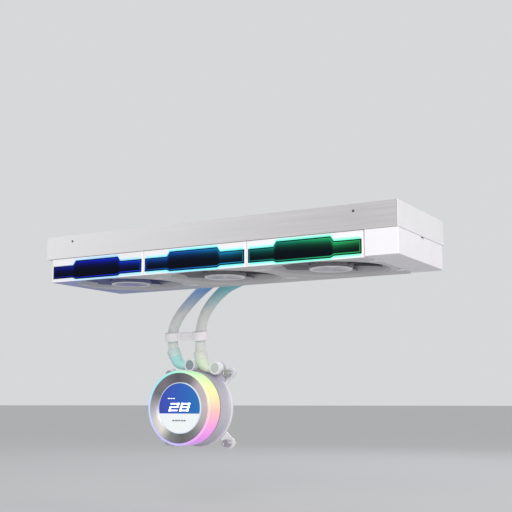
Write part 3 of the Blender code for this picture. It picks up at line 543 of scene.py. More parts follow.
# concentric turning marks, with painted highlight and painted shade sectors that stand for the metal's reflections
def spunFinish(name, look, centre, axis="Z"):
    finish, tree, shader = startFinish(
        name, {"Metallic": look["metal"], "Roughness": look["rough"], "Coat Weight": look.get("coat", 0.0)}
    )
    place = addNode(tree, "ShaderNodeTexCoord").outputs["Object"]
    if axis == "Z":
        along = addNode(tree, "ShaderNodeSeparateXYZ", {0: place}).outputs["X"]
        wrapped = calc(
            tree, "SUBTRACT",
            calc(tree, "MODULO", calc(tree, "SUBTRACT", along, fanRow["left"]), fanRow["pitch"]),
            fanRow["pitch"] / 2
        )
        one, two = wrapped, addNode(tree, "ShaderNodeSeparateXYZ", {0: place}).outputs["Y"]
    else:
        shifted = addNode(
            tree, "ShaderNodeMapping", {"Vector": place, "Location": tuple(-c for c in centre)}
        ).outputs[0]
        parts = addNode(tree, "ShaderNodeSeparateXYZ", {0: shifted}).outputs
        one, two = parts["X"], parts["Z"]
    radius = calc(
        tree, "SQRT", calc(tree, "ADD", calc(tree, "POWER", one, 2.0), calc(tree, "POWER", two, 2.0))
    )
    angle = spread(tree, calc(tree, "ARCTAN2", two, one), -math.pi, math.pi)
    line = addNode(
        tree, "ShaderNodeCombineXYZ", {0: radius, 1: calc(tree, "MULTIPLY", angle, 0.002)}
    ).outputs[0]
    marks = noise(tree, look["marks"], 3, (1, 1, 1), line)
    # painted reflection: light and dark sectors by angle round the centre
    tone = ramped(tree, angle, look["sheenSectors"])
    tree.links.new(
        mixed(tree, spread(tree, marks, 0.3, 0.7, 0.0, 0.22), tone, look["mark"]),
        shader.inputs["Base Color"]
    )
    tree.links.new(
        spread(tree, marks, 0.3, 0.7, look["rough"] - 0.06, look["rough"] + 0.1), shader.inputs["Roughness"]
    )
    bumped(tree, shader, marks, 0.00003, 0.4)
    return finish


# painted highlight and shade sectors round the hub disc
hubSheenSectors = [
    (0.0, (0.50, 0.49, 0.53)), (0.10, (0.78, 0.76, 0.84)), (0.20, (0.42, 0.41, 0.45)),
    (0.34, (0.80, 0.78, 0.88)),
    (0.45, (0.46, 0.45, 0.52)), (0.58, (0.82, 0.80, 0.88)), (0.68, (0.44, 0.43, 0.48)),
    (0.84, (0.76, 0.74, 0.84)),
    (1.0, (0.50, 0.49, 0.53)),
]


# lit dial: blue above, white below
def screenFinish():
    finish, tree, shader = startFinish(
        "displayLit",
        {
            "Base Color": (0.01, 0.01, 0.015, 1), "Roughness": 0.1, "Specular IOR Level": 0.25,
            "Coat Weight": 0.1, "Coat Roughness": 0.04, "Emission Strength": 0.95
        }
    )
    _, radius, parts = roundField(tree, pumpAxis)
    blue = ramped(
        tree, spread(tree, parts["X"], -0.028, 0.028),
        [(0.0, (0.038, 0.06, 0.44)), (0.45, (0.022, 0.10, 0.50)), (1.0, (0.008, 0.17, 0.50))]
    )
    lower = spread(tree, parts["Z"], -0.0060, -0.0064)
    lit = mixed(tree, lower, blue, (0.90, 0.95, 0.96, 1))
    # painted highlight: a pale ring round the glass edge
    rim = spread(tree, radius, 0.0272, 0.0276)
    lit = mixed(tree, rim, lit, (0.75, 0.85, 0.95, 1))
    grain = spread(tree, noise(tree, 700, 2), 0.3, 0.7, 0.97, 1.03)
    shade = addNode(tree, "ShaderNodeCombineXYZ", {0: grain, 1: grain, 2: grain}).outputs[0]
    tree.links.new(mixed(tree, 1.0, lit, shade, "MULTIPLY"), shader.inputs["Emission Color"])
    return finish


# braided sleeve whose threads follow the hose, with painted light below the fans and at the pump
def sleeveFinish(name, look):
    finish, tree, shader = startFinish(name, {"Sheen Weight": 0.35, "Sheen Roughness": 0.5})
    strands = addNode(tree, "ShaderNodeUVMap").outputs[0]
    parts = addNode(tree, "ShaderNodeSeparateXYZ", {0: strands}).outputs
    one = calc(
        tree, "ADD", calc(tree, "MULTIPLY", parts["X"], look["pitch"]),
        calc(tree, "MULTIPLY", parts["Y"], look["around"])
    )
    two = calc(
        tree, "SUBTRACT", calc(tree, "MULTIPLY", parts["X"], look["pitch"]),
        calc(tree, "MULTIPLY", parts["Y"], look["around"])
    )
    first = calc(tree, "SINE", calc(tree, "MULTIPLY", one, 2 * math.pi * 3))
    second = calc(tree, "SINE", calc(tree, "MULTIPLY", two, 2 * math.pi * 3))
    over = calc(
        tree, "GREATER_THAN",
        calc(
            tree, "ADD",
            calc(tree, "COSINE", calc(tree, "MULTIPLY", parts["X"], look["pitch"] * 2 * math.pi)),
            calc(tree, "COSINE", calc(tree, "MULTIPLY", parts["Y"], look["around"] * 2 * math.pi))
        ),
        0.0
    )
    thread = calc(
        tree, "ADD", calc(tree, "MULTIPLY", first, over),
        calc(tree, "MULTIPLY", second, calc(tree, "SUBTRACT", 1.0, over))
    )
    cloud = spread(tree, noise(tree, 120, 3), 0.3, 0.7, 0.0, 0.5)
    level = calc(tree, "ADD", spread(tree, thread, -1, 1, 0.0, 0.5), cloud)
    plain = ramped(tree, level, [(0.0, look["shade"]), (1.0, look["colour"])])
    place = addNode(tree, "ShaderNodeTexCoord").outputs["Object"]
    spot = addNode(tree, "ShaderNodeSeparateXYZ", {0: place}).outputs
    # painted blue and teal light below the fans, and painted coloured light from the ring near the pump
    upper = calc(
        tree, "MULTIPLY", spread(tree, spot["Z"], -0.074, -0.050), spread(tree, spot["Z"], -0.032, -0.044)
    )
    upper = calc(tree, "MULTIPLY", upper, spread(tree, spot["X"], 0.02, -0.015, 0.0, look["upperCast"]))
    lower = calc(tree, "MULTIPLY", spread(tree, spot["Z"], -0.112, -0.130), look["lowerCast"])
    withPaintedLight = mixed(tree, upper, plain, look["upper"])
    withPaintedLight = mixed(tree, lower, withPaintedLight, look["lower"])
    tree.links.new(withPaintedLight, shader.inputs["Base Color"])
    tree.links.new(spread(tree, thread, -1, 1, 0.75, 0.55), shader.inputs["Roughness"])
    bumped(tree, shader, thread, 0.00012, 0.5)
    return finish


def coiledFinish(name, look):
    finish, tree, shader = startFinish(name, {"Metallic": 0.8})
    turns = addNode(tree, "ShaderNodeTexCoord").outputs["Object"]
    wave = addNode(
        tree, "ShaderNodeTexWave",
        {"Vector": turns, "Scale": look["turns"], "Distortion": 0.4, "Detail": 1.0},
        bands_direction=look["way"]
    )
    tree.links.new(
        ramped(tree, wave.outputs[1], [(0.0, look["shade"]), (1.0, look["colour"])]),
        shader.inputs["Base Color"]
    )
    tree.links.new(spread(tree, wave.outputs[1], 0, 1, 0.45, 0.28), shader.inputs["Roughness"])
    bumped(tree, shader, wave.outputs[1], 0.0002, 0.7)
    return finish


white = mouldedFinish(
    "whiteMoulded", {"colour": (0.88, 0.87, 0.89), "shade": (0.83, 0.82, 0.84), "rough": 0.42}
)
coverWhite = mouldedFinish(
    "coverMoulded",
    {"colour": (0.83, 0.81, 0.835), "shade": (0.79, 0.77, 0.795), "rough": 0.45, "cloud": 25}
)
pumpWhite = mouldedFinish(
    "pumpMoulded", {"colour": (0.55, 0.53, 0.60), "shade": (0.50, 0.48, 0.55), "rough": 0.38, "cloud": 30}
)
satinPaint = mouldedFinish(
    "satinPaint",
    {
        "colour": (0.82, 0.82, 0.83), "shade": (0.78, 0.78, 0.80), "rough": 0.38, "grain": 700,
        "depth": 0.00012, "coat": 0.15
    }
)
# the fan shell's last setting is the strength of the painted blue light under the first fan
fanShell = fanFrameFinish(
    {
        "colour": (0.88, 0.87, 0.88), "shade": (0.84, 0.83, 0.84), "rough": 0.42, "glow": 0.42,
        "fade": 0.0021, "paintedBlueLight": 0.8
    }
)
# the blades are white; their dark grey is painted shade inside the duct, and fan 1's blades add painted blue light
bladeShaded = mouldedFinish(
    "bladePaintedShade",
    {"colour": (0.20, 0.20, 0.215), "shade": (0.15, 0.15, 0.165), "rough": 0.4, "cloud": 60, "coat": 0.1}
)
bladeShadedBlueLight = mouldedFinish(
    "bladePaintedShadeAndBlueLight",
    {"colour": (0.15, 0.17, 0.34), "shade": (0.10, 0.12, 0.27), "rough": 0.4, "cloud": 60, "coat": 0.1}
)
# the swivel caps are one part given two painted shades, deeper on the left cap
capDeepShade = mouldedFinish(
    "capDeepShadeFinish", {"colour": (0.34, 0.36, 0.38), "shade": (0.28, 0.30, 0.32), "rough": 0.4}
)
capLightShade = mouldedFinish(
    "capLightShadeFinish", {"colour": (0.58, 0.61, 0.62), "shade": (0.50, 0.53, 0.54), "rough": 0.4}
)
blackMoulded = mouldedFinish(
    "blackMoulded", {"colour": (0.035, 0.035, 0.04), "shade": (0.025, 0.025, 0.03), "rough": 0.5}
)
plateMetal = brushedFinish(
    "brushedPlate",
    {
        "colour": (0.56, 0.54, 0.55), "shade": (0.44, 0.43, 0.435), "metal": 0.25,
        "fall": (0.82, 0.82, 0.82, 1), "rough": 0.42, "stretch": (14, 900, 900)
    }
)
finMetal = brushedFinish(
    "finSheet",
    {
        "colour": (0.74, 0.74, 0.76), "shade": (0.64, 0.64, 0.66), "metal": 0.3, "rough": 0.45,
        "stretch": (500, 500, 30)
    }
)
steel = brushedFinish(
    "screwSteel",
    {
        "colour": (0.60, 0.60, 0.62), "shade": (0.46, 0.46, 0.48), "metal": 0.95, "rough": 0.32,
        "stretch": (900, 900, 900)
    }
)
darkSteel = brushedFinish(
    "darkScrew",
    {
        "colour": (0.16, 0.16, 0.17), "shade": (0.10, 0.10, 0.11), "metal": 0.8, "rough": 0.38,
        "stretch": (900, 900, 900)
    }
)
copperFace = brushedFinish(
    "milledCopper",
    {
        "colour": (0.82, 0.45, 0.30), "shade": (0.78, 0.42, 0.275), "metal": 1.0, "rough": 0.30,
        "stretch": (30, 900, 1400)
    }
)
boardGreen = mouldedFinish(
    "lightBoard", {"colour": (0.70, 0.72, 0.68), "shade": (0.62, 0.64, 0.60), "rough": 0.45}
)
chipFinish = mouldedFinish(
    "lightChip", {"colour": (0.92, 0.90, 0.70), "shade": (0.88, 0.86, 0.62), "rough": 0.3}
)
winding = coiledFinish(
    "motorWinding", {"colour": (0.72, 0.36, 0.18), "shade": (0.30, 0.12, 0.05), "turns": 600, "way": "Z"}
)
pumpWinding = coiledFinish(
    "pumpWinding", {"colour": (0.72, 0.36, 0.18), "shade": (0.30, 0.12, 0.05), "turns": 600, "way": "Y"}
)
litWindow = windowFinish({"glow": 1.7, "fade": 0.0021, "line": 0.55})
hubSpun = spunFinish(
    "hubDisc",
    {"metal": 0.8, "rough": 0.26, "marks": 2600, "mark": (0.30, 0.30, 0.34, 1), "sheenSectors": hubSheenSectors},
    (0, 0, 0)
)
# fan 1's hub disc: the same painted sectors with painted blue light
hubBlueLightSectors = [(place, (r * 0.42, g * 0.46, b * 0.80)) for place, (r, g, b) in hubSheenSectors]
hubBlueLight = spunFinish(
    "hubDiscPaintedBlueLight",
    {"metal": 0.8, "rough": 0.26, "marks": 2600, "mark": (0.12, 0.14, 0.30, 1), "sheenSectors": hubBlueLightSectors},
    (0, 0, 0)
)
bezelSpun = spunFinish(
    "bezelTurned",
    {"metal": 0.55, "rough": 0.34, "marks": 2400, "mark": (0.30, 0.29, 0.30, 1), "sheenSectors": bezelSheenSectors},
    pumpAxis, "Y"
)
ringLit = ringFinish({"glow": 0.42, "richness": 0.88, "frontShare": 0.8})
screenLit = screenFinish()
# the upper and lower colours are painted light, not the sleeve's own colour
sleeveLook = {"colour": (0.86, 0.87, 0.84), "shade": (0.66, 0.67, 0.65), "pitch": 294.0, "around": 12.0}
leftSleeve = sleeveFinish(
    "leftSleeve",
    {
        **sleeveLook, "upper": (0.13, 0.36, 0.80, 1), "upperCast": 0.85, "lower": (0.28, 0.95, 0.85, 1),
        "lowerCast": 0.75
    }
)
rightSleeve = sleeveFinish(
    "rightSleeve",
    {
        **sleeveLook, "upper": (0.13, 0.56, 0.66, 1), "upperCast": 0.85, "lower": (0.72, 0.88, 0.62, 1),
        "lowerCast": 0.5
    }
)
print("finishes made")


# hoses

hoseLook = {
    "radius": 0.006,
    "step": 0.00058,  # between rings of the sleeve
    "around": 68,
    "weave": 0.00022,  # how far the strands stand proud
    "bumps": 12,  # strand crossings round the hose
    "repeat": 0.0034,
}
leftPoints = [
    (0.1585, 0.070, -0.012), (0.149, 0.070, -0.012), (0.110, 0.070, -0.013), (0.070, 0.070, -0.015),
    (0.030, 0.0705, -0.017), (0.0, 0.071, -0.019), (-0.028, 0.072, -0.023), (-0.051, 0.073, -0.0295),
    (-0.073, 0.0745, -0.039), (-0.092, 0.076, -0.0505), (-0.1085, 0.0785, -0.0625),
    (-0.1235, 0.081, -0.076),
    (-0.1335, 0.084, -0.0895), (-0.1368, 0.0865, -0.101), (-0.1377, 0.0894, -0.1142),
    (-0.1353, 0.091, -0.1225),
]
rightPoints = [
    (0.1585, 0.070, -0.036), (0.149, 0.070, -0.036), (0.110, 0.070, -0.036), (0.060, 0.070, -0.036),
    (0.020, 0.0705, -0.0358), (-0.008, 0.071, -0.037), (-0.029, 0.0725, -0.040), (-0.0466, 0.074, -0.0446),
    (-0.0616, 0.076, -0.0512), (-0.0762, 0.0785, -0.0618), (-0.0884, 0.081, -0.075),
    (-0.0956, 0.084, -0.089),
    (-0.0988, 0.0865, -0.1015), (-0.1006, 0.0895, -0.1166), (-0.0998, 0.0909, -0.1262),
]


def braidedHose(name, points, finish):
    route, length = smoothRoute([Vector(p) for p in points], hoseLook["step"])
    bm = swept(route, hoseLook["radius"] - hoseLook["weave"], hoseLook["around"])
    around = hoseLook["around"]
    bm.verts.ensure_lookup_table()
    bm.normal_update()
    strands = bm.loops.layers.uv.active or bm.loops.layers.uv.new("strands")
    spacing = length / (len(route) - 1)
    for face in bm.faces:
        if len(face.verts) > 4:
            continue
        spots = [divmod(loop.vert.index, around) for loop in face.loops]
        wraps = max(s[1] for s in spots) - min(s[1] for s in spots) > 1
        for loop, (ring, side) in zip(face.loops, spots):
            loop[strands].uv = (ring * spacing, (side + around if wraps and side == 0 else side) / around)
    for vert in bm.verts:
        ring, side = divmod(vert.index, around)
        wave = math.cos(2 * math.pi * hoseLook["bumps"] * side / around)
        wave += math.cos(2 * math.pi * ring * spacing / hoseLook["repeat"])
        middle = route[min(ring, len(route) - 1)]
        vert.co += (vert.co - middle).normalized() * hoseLook["weave"] * (wave / 4 + 0.5)
    hose = makePiece(name, bm, finish, stands=name.replace("_sleeve", ""), smoothTo=70)
    return hose, route, length


collarLook = {"bore": 0.0062, "outer": 0.0077, "long": 0.009, "grooves": 4, "groovePitch": 0.0016, "deep": 0.00035}


# ringed collar over the end of the sleeve
def ferrule(name, end, inner, finish, stands=()):
    bore, outer, long = collarLook["bore"], collarLook["outer"], collarLook["long"]
    ribs = []
    for i in range(collarLook["grooves"]):
        start, floor = 0.0020 + i * collarLook["groovePitch"], outer - collarLook["deep"]
        ribs += [(outer, start), (floor, start + 0.0003), (floor, start + 0.0007), (outer, start + 0.0010)]
    profile = [
        (bore, long), (outer - 0.0006, long), (outer, long - 0.0006), *reversed(ribs), (outer, 0.0006),
        (outer - 0.0006, 0), (bore, 0)
    ]
    bm = aimed(turned(profile, steps=48, closed=True), end, inner - end)
    bmesh.ops.recalc_face_normals(bm, faces=bm.faces)
    return makePiece(name, bm, finish, stands=stands)


elbowLook = {"barrel": 0.0074, "neck": 0.0070}
elbows = {
    "upper_radiator_elbow": {
        "port": (0.181, 0.070, -0.012), "back": 0.0587, "front": 0.078,
        "via": [(0.176, 0.070, -0.012), (0.166, 0.070, -0.012)]
    },
    "lower_radiator_elbow": {
        "port": (0.181, 0.070, -0.036), "back": 0.0587, "front": 0.078,
        "via": [(0.176, 0.070, -0.036), (0.166, 0.070, -0.036)]
    },
    "left_pump_elbow": {
        "port": (-0.117, 0.0968, -0.1324), "back": 0.1010, "front": 0.0918, "narrow": (0.56, 0.8),
        "via": [(-0.1230, 0.0970, -0.1324), (-0.1290, 0.0966, -0.1318), (-0.1338, 0.0940, -0.1284)]
    },
    "right_pump_elbow": {
        "port": (-0.083, 0.0968, -0.1364), "back": 0.1010, "front": 0.0918, "narrow": (0.56, 0.8),
        "via": [(-0.0890, 0.0970, -0.1364), (-0.0945, 0.0966, -0.1356), (-0.0985, 0.0940, -0.1322)]
    },
}


# swivel barrel with a flat cap, and a neck that bends to the hose
def elbow(node, route, finishes):
    look = elbows[node]
    port, back, front = Vector(look["port"]), look["back"], look["front"]
    out = 1 if front > back else -1
    r = elbowLook["barrel"]
    skin = [
        (0.0, front - out * 0.0004), (r - 0.0019, front - out * 0.0004), (r - 0.0015, front),
        (r - 0.0006, front),
        (r, front - out * 0.0006), (r, front - out * 0.0030), (r - 0.0004, front - out * 0.0033),
        (r - 0.0004, front - out * 0.0037), (r, front - out * 0.0040), (r, back + out * 0.0006),
        (r - 0.0006, back), (0.0, back),
    ]
    barrel = turned(skin, (port.x, 0, port.z), "Y", 56)
    bmesh.ops.recalc_face_normals(barrel, faces=barrel.faces)
    paint(barrel, 1, lambda face: abs(face.calc_center_median().y - front + out * 0.0004) < 0.0002
          and (face.calc_center_median() - Vector((port.x, front, port.z))).length < r - 0.0019)
    bend = [port, *[Vector(p) for p in look["via"]], route[0], route[4]]
    neck = paint(swept(smoothRoute(bend, 0.0009)[0], elbowLook["neck"], 28, look.get("narrow")), 2)
    return makePiece(node + "_swivel", merged(barrel, neck), finishes, stands=node)


clipLook = {
    "centre": (-0.1174, 0.0861, -0.0996),
    "lean": math.atan2(5.4, 25),
    "spacing": 0.0380,  # between the two hoses
    "half": 0.005,
    "bore": 0.0078,
    "outer": 0.0091,
    "bar": 0.0016,
    "ribs": (-0.005, 0.0, 0.005),
}


# two rings on a ribbed bar
def hoseClip():
    half, bore, outer = clipLook["half"], clipLook["bore"], clipLook["outer"]
    edge, spacing = outer - 0.0004, clipLook["spacing"]
    tilt = Matrix.Translation(clipLook["centre"]) @ Matrix.Rotation(clipLook["lean"], 4, "X")
    parts = []
    for side in (-1, 1):
        profile = [
            (bore, half), (edge, half), (outer, half - 0.0004), (outer, -half + 0.0004), (edge, -half),
            (bore, -half)
        ]
        parts.append(turned(profile, (side * spacing / 2, 0, 0), "Z", 56, True))
    inner, thick = spacing / 2 - edge, clipLook["bar"]
    proud = thick + 0.0005
    parts.append(block((-inner, -thick, -half + 0.0003), (inner, thick, half - 0.0003), 0.0004, 3))
    parts.append(block((-inner + 0.002, -proud, -0.0007), (inner - 0.002, proud, 0.0007), 0.0003, 2))
    for x in clipLook["ribs"]:
        low, high = (x - 0.0004, -proud, -half + 0.0009), (x + 0.0004, proud, half - 0.0009)
        parts.append(block(low, high, 0.0002, 2))
    bm = merged(*parts)
    bmesh.ops.transform(bm, matrix=tilt, verts=bm.verts)
    return makePiece("hose_clip_rings", bm, clipWhite, "clip", "hose_clip")


clipWhite = mouldedFinish(
    "clipMoulded", {"colour": (0.94, 0.89, 0.91), "shade": (0.89, 0.84, 0.86), "rough": 0.4}
)
# collars and necks at the pump: white parts given painted coloured light from the pump's ring
leftCollar = mouldedFinish(
    "leftCollar", {"colour": (0.66, 0.78, 0.76), "shade": (0.61, 0.73, 0.71), "rough": 0.55}
)
rightCollar = mouldedFinish(
    "rightCollar", {"colour": (0.76, 0.78, 0.71), "shade": (0.71, 0.73, 0.66), "rough": 0.55}
)
leftNeck = mouldedFinish(
    "leftNeck", {"colour": (0.50, 0.82, 0.80), "shade": (0.46, 0.76, 0.74), "rough": 0.5}
)
rightNeck = mouldedFinish(
    "rightNeck", {"colour": (0.76, 0.82, 0.66), "shade": (0.71, 0.77, 0.62), "rough": 0.5}
)
leftHose, leftRoute, leftLength = braidedHose("left_hose_sleeve", leftPoints, leftSleeve)
rightHose, rightRoute, rightLength = braidedHose("right_hose_sleeve", rightPoints, rightSleeve)
clipPiece = hoseClip()
leftTop = ferrule("left_radiator_ferrule", leftRoute[0], leftRoute[8], white)
rightTop = ferrule("right_radiator_ferrule", rightRoute[0], rightRoute[8], white)
leftEnd = ferrule("left_pump_collar", leftRoute[-1], leftRoute[-9], leftCollar, "left_pump_ferrule")
rightEnd = ferrule("right_pump_collar", rightRoute[-1], rightRoute[-9], rightCollar, "right_pump_ferrule")
elbow("upper_radiator_elbow", leftRoute, [white, white, white])
elbow("lower_radiator_elbow", rightRoute, [white, white, white])
elbow("left_pump_elbow", leftRoute[::-1], [white, capDeepShade, leftNeck])
elbow("right_pump_elbow", rightRoute[::-1], [white, capLightShade, rightNeck])
print(f"hoses made: left {leftLength:.3f} m, right {rightLength:.3f} m")


# radiator

radiatorLook = {
    "tubes": 12,
    "tubeHalf": 0.0010,
    "foldPitch": 0.0018,
    "finSheet": 0.00012,
    "plateScrews": (-0.165, 0.158),
}


def radiatorCore():
    low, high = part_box("radiator_core")
    pitch = (high.y - low.y) / radiatorLook["tubes"]
    half = radiatorLook["tubeHalf"]
    parts = []
    for row in range(radiatorLook["tubes"]):
        y = low.y + pitch * (row + 0.5)
        parts.append(block((low.x, y - half, low.z), (high.x, y + half, high.z), 0.0008, 3))
    tubes = merged(*parts)
    folds = int((high.x - low.x) / radiatorLook["foldPitch"]) * 2
    fin = bmesh.new()
    bmesh.ops.create_grid(fin, x_segments=folds, y_segments=1, size=0.5)
    bmesh.ops.rotate(fin, cent=(0, 0, 0), matrix=Matrix.Rotation(math.pi / 2, 3, "X"), verts=fin.verts)
    deep = (pitch - 2 * half) / 2 - 0.0001
    bmesh.ops.scale(fin, vec=(high.x - low.x - 0.002, 1, high.z - low.z - 0.0016), verts=fin.verts)
    for vert in fin.verts:
        fold = round((vert.co.x / (high.x - low.x - 0.002) + 0.5) * folds)
        vert.co.y = deep if fold % 2 else -deep
    flat = list(fin.faces)
    bmesh.ops.solidify(fin, geom=flat, thickness=radiatorLook["finSheet"])
    bmesh.ops.translate(
        fin, vec=((low.x + high.x) / 2, low.y + pitch, (low.z + high.z) / 2), verts=fin.verts
    )
    paint(fin, 1)
    single = bpy.data.meshes.new("finRow")
    fin.to_mesh(single)
    fin.free()
    for row in range(radiatorLook["tubes"] - 1):
        start = len(tubes.verts)
        tubes.from_mesh(single)
        tubes.verts.ensure_lookup_table()
        bmesh.ops.translate(tubes, vec=(0, row * pitch, 0), verts=tubes.verts[start:])
    bpy.data.meshes.remove(single)
    makePiece(
        "radiator_tubes_and_fins", tubes, [satinPaint, finMetal], stands="radiator_core",
        smoothTo=30
    )


def sidePlates():
    for node, side in (("front_plate", -1), ("back_plate", 1)):
        if side < 0:
            low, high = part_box(node)
            plate = block(low, high, 0.00025, 2)
        else:
            plate = cadCopy(node, 0.0002)
        makePiece(node + "_sheet", plate, plateMetal, stands=node, weighted=True)
    low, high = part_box("end_plate")
    makePiece(
        "end_plate_sheet", block(low, high, 0.0003, 3), endPaint, stands="end_plate",
        weighted=True
    )


def carved(bm, *cutters):
    holders = []
    for shape in (bm, *cutters):
        mesh = bpy.data.meshes.new("carving")
        shape.to_mesh(mesh)
        shape.free()
        holders.append(bpy.data.objects.new("carving", mesh))
        bpy.context.scene.collection.objects.link(holders[-1])
    for cutter in holders[1:]:
        away = holders[0].modifiers.new("cut", "BOOLEAN")
        away.operation, away.object, away.solver = "DIFFERENCE", cutter, "EXACT"
    bpy.context.view_layer.update()
    graph = bpy.context.evaluated_depsgraph_get()
    made = bpy.data.meshes.new_from_object(holders[0].evaluated_get(graph))
    result = bmesh.new()
    result.from_mesh(made)
    for mesh in [made, *(holder.data for holder in holders)]:
        bpy.data.meshes.remove(mesh)
    bmesh.ops.remove_doubles(result, verts=result.verts, dist=1e-6)
    return result


# small pan head along +Z with a cross cut into it
def crossHead(radius, height, recess=0.0005):
    profile = [
        (0, height), (radius * 0.55, height * 0.96), (radius * 0.9, height * 0.6), (radius, 0), (0, 0)
    ]
    long, thin = radius * 0.6, radius * 0.13
    bars = [
        block((-a, -b, height - recess), (a, b, height + recess)) for a, b in ((long, thin), (thin, long))
    ]
    return carved(turned(profile, steps=32), *bars)


def plateScrews():
    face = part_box("front_plate")[0].y
    parts = []
    for x in radiatorLook["plateScrews"]:
        head = crossHead(0.0013, 0.0003, 0.00025)
        parts.append(aimed(head, (x, face + 0.00005, -0.0065), (0, -1, 0)))
    makePiece("front_plate_screws", merged(*parts), darkSteel)


def tanksAndRails():
    for node in ("return_tank", "port_tank", "front_rail", "back_rail"):
        makePiece(
            node + "_painted", cadCopy(node, 0.0003), satinPaint, stands=node,
            weighted=True
        )
    low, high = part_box("fill_plug")
    centre = ((low.x + high.x) / 2, (low.y + high.y) / 2, high.z)
    r = (high.x - low.x) / 2
    plug = turned(
        [
            (0, -0.0022), (0.0020, -0.0022), (0.0022, -0.0004), (r - 0.0006, -0.0004), (r, -0.0009),
            (r, low.z - high.z), (0, low.z - high.z)
        ],
        centre, "Z", 48
    )
    makePiece("fill_plug_head", plug, steel, stands="fill_plug")


endPaint = mouldedFinish(
    "endPaint", {"colour": (0.78, 0.77, 0.78), "shade": (0.74, 0.73, 0.74), "rough": 0.35, "coat": 0.2}
)
radiatorCore()
sidePlates()
plateScrews()
tanksAndRails()
print("radiator made")


# fans

fanLook = {
    "centres": (-0.133, -0.013, 0.107),
    "hub": 0.022,
    "tip": 0.0550,
    "blades": 9,
    "sheet": 0.0013,
    "bottom": -0.049,
    "top": -0.0243,
}


windowOutline = {
    "end": 0.058, "shoulder": 0.031, "crown": 0.0277, "high": -0.0077, "low": -0.0210, "tall": -0.0030,
    "deep": -0.0227
}


# one swept and pitched blade, turned round the hub
def fanBlades():
    root, tip = fanLook["hub"] - 0.0009, fanLook["tip"]
    low, high = fanLook["bottom"] + 0.0036, fanLook["top"] - 0.0052
    bm = bmesh.new()
    bmesh.ops.create_grid(bm, x_segments=14, y_segments=9, size=0.5)
    for vert in bm.verts:
        out, along = vert.co.x + 0.5, vert.co.y + 0.5
        radius = root + (tip - root) * out
        chord = math.radians(34 - 9 * out)
        angle = chord * (along - 0.5) + math.radians(20) * out ** 1.4
        fall = (0.92 - 0.34 * out) * (along - 0.5) + 0.10 * math.sin(math.pi * along)
        vert.co = (
            radius * math.cos(angle), radius * math.sin(angle), (low + high) / 2 + (high - low) * fall
        )
    bmesh.ops.solidify(bm, geom=bm.faces[:], thickness=fanLook["sheet"])
    roundEdges(bm, sharpEdges(bm, 60), 0.0004, 2)
    bmesh.ops.recalc_face_normals(bm, faces=bm.faces)
    one = bpy.data.meshes.new("blade")
    bm.to_mesh(one)
    bm.free()
    bm = bmesh.new()
    for number in range(fanLook["blades"]):
        start = len(bm.verts)
        bm.from_mesh(one)
        bm.verts.ensure_lookup_table()
        turn = Matrix.Rotation(2 * math.pi * number / fanLook["blades"], 3, "Z")
        bmesh.ops.rotate(bm, cent=(0, 0, 0), matrix=turn, verts=bm.verts[start:])
    bpy.data.meshes.remove(one)
    return bm


def fanRotor(number, x):
    top, bottom = fanLook["top"] - 0.0047, fanLook["bottom"] + 0.0022
    r, floor = fanLook["hub"], fanLook["bottom"] + 0.0038
    cup = turned([
        (0, top - 0.001), (0.0015, top - 0.001), (0.0015, floor), (r - 0.0018, floor), (r - 0.0018, top),
        (r - 0.0003, top), (r, top - 0.0003),
        (r, bottom + 0.0012), (r - 0.0004, bottom + 0.0005), (r - 0.0012, bottom), (0, bottom),
    ], steps=72)
    bm = merged(cup, fanBlades())
    bmesh.ops.translate(bm, vec=(x, 0, 0), verts=bm.verts)
    # fan 1's blades and hub disc take painted blue light
    makePiece(
        f"fan_{number}_impeller", bm, bladeShadedBlueLight if number == 1 else bladeShaded, f"rotor_{number}",
        f"fan_{number}_rotor", 50
    )
    capTop, capLow = bottom - 0.0003, fanLook["bottom"] + 0.0006
    disc = turned([
        (0, capTop), (0.0206, capTop), (0.0210, capLow + 0.0008), (0.0208, capLow + 0.0003),
        (0.0204, capLow), (0.0192, capLow), (0.0187, capLow + 0.0004),
        (0.0172, capLow + 0.0005), (0.0090, capLow + 0.00085), (0.0086, capLow + 0.0007),
        (0.0066, capLow + 0.0007), (0.0062, capLow + 0.0009), (0, capLow + 0.0009),
    ], (x, 0, 0), "Z", 72)
    paint(
        disc, 1,
        lambda face: (
            face.calc_center_median() - Vector((x, 0, face.calc_center_median().z))
        ).length > 0.0188
    )
    makePiece(
        f"fan_{number}_spun_disc", disc, [hubBlueLight if number == 1 else hubSpun, white], f"rotor_{number}",
        f"fan_{number}_hub_disc"
    )


def windowPoints(grow):
    edge = windowOutline
    end, crown = edge["end"] + grow, edge["crown"] + grow / 2
    right = [
        (crown, edge["tall"] + grow), (edge["shoulder"], edge["high"] + grow), (end, edge["high"] + grow),
        (end, edge["low"] - grow), (edge["shoulder"], edge["low"] - grow), (crown, edge["deep"] - grow),
    ]
    return [(x, fanLook["top"] + z) for x, z in right + [(-x, z) for x, z in reversed(right)]]


# the window's outline drawn back through levels of (y, growth)
def windowPrism(x, levels):
    bm = bmesh.new()
    y, grow = levels[0]
    ring = bm.faces.new([bm.verts.new((x + a, y, b)) for a, b in windowPoints(grow)])
    for y, grow in levels[1:]:
        before = [v.co.copy() for v in ring.verts]
        made = bmesh.ops.extrude_face_region(bm, geom=[ring])["geom"]
        ring = next(f for f in made if isinstance(f, bmesh.types.BMFace))
        places = windowPoints(grow)
        for vert in ring.verts:
            a, b = places[min(range(12), key=lambda i: (before[i] - vert.co).length)]
            vert.co = (x + a, y, b)
    bmesh.ops.holes_fill(bm, edges=[e for e in bm.edges if len(e.link_faces) == 1])
    bmesh.ops.recalc_face_normals(bm, faces=bm.faces)
    return bm


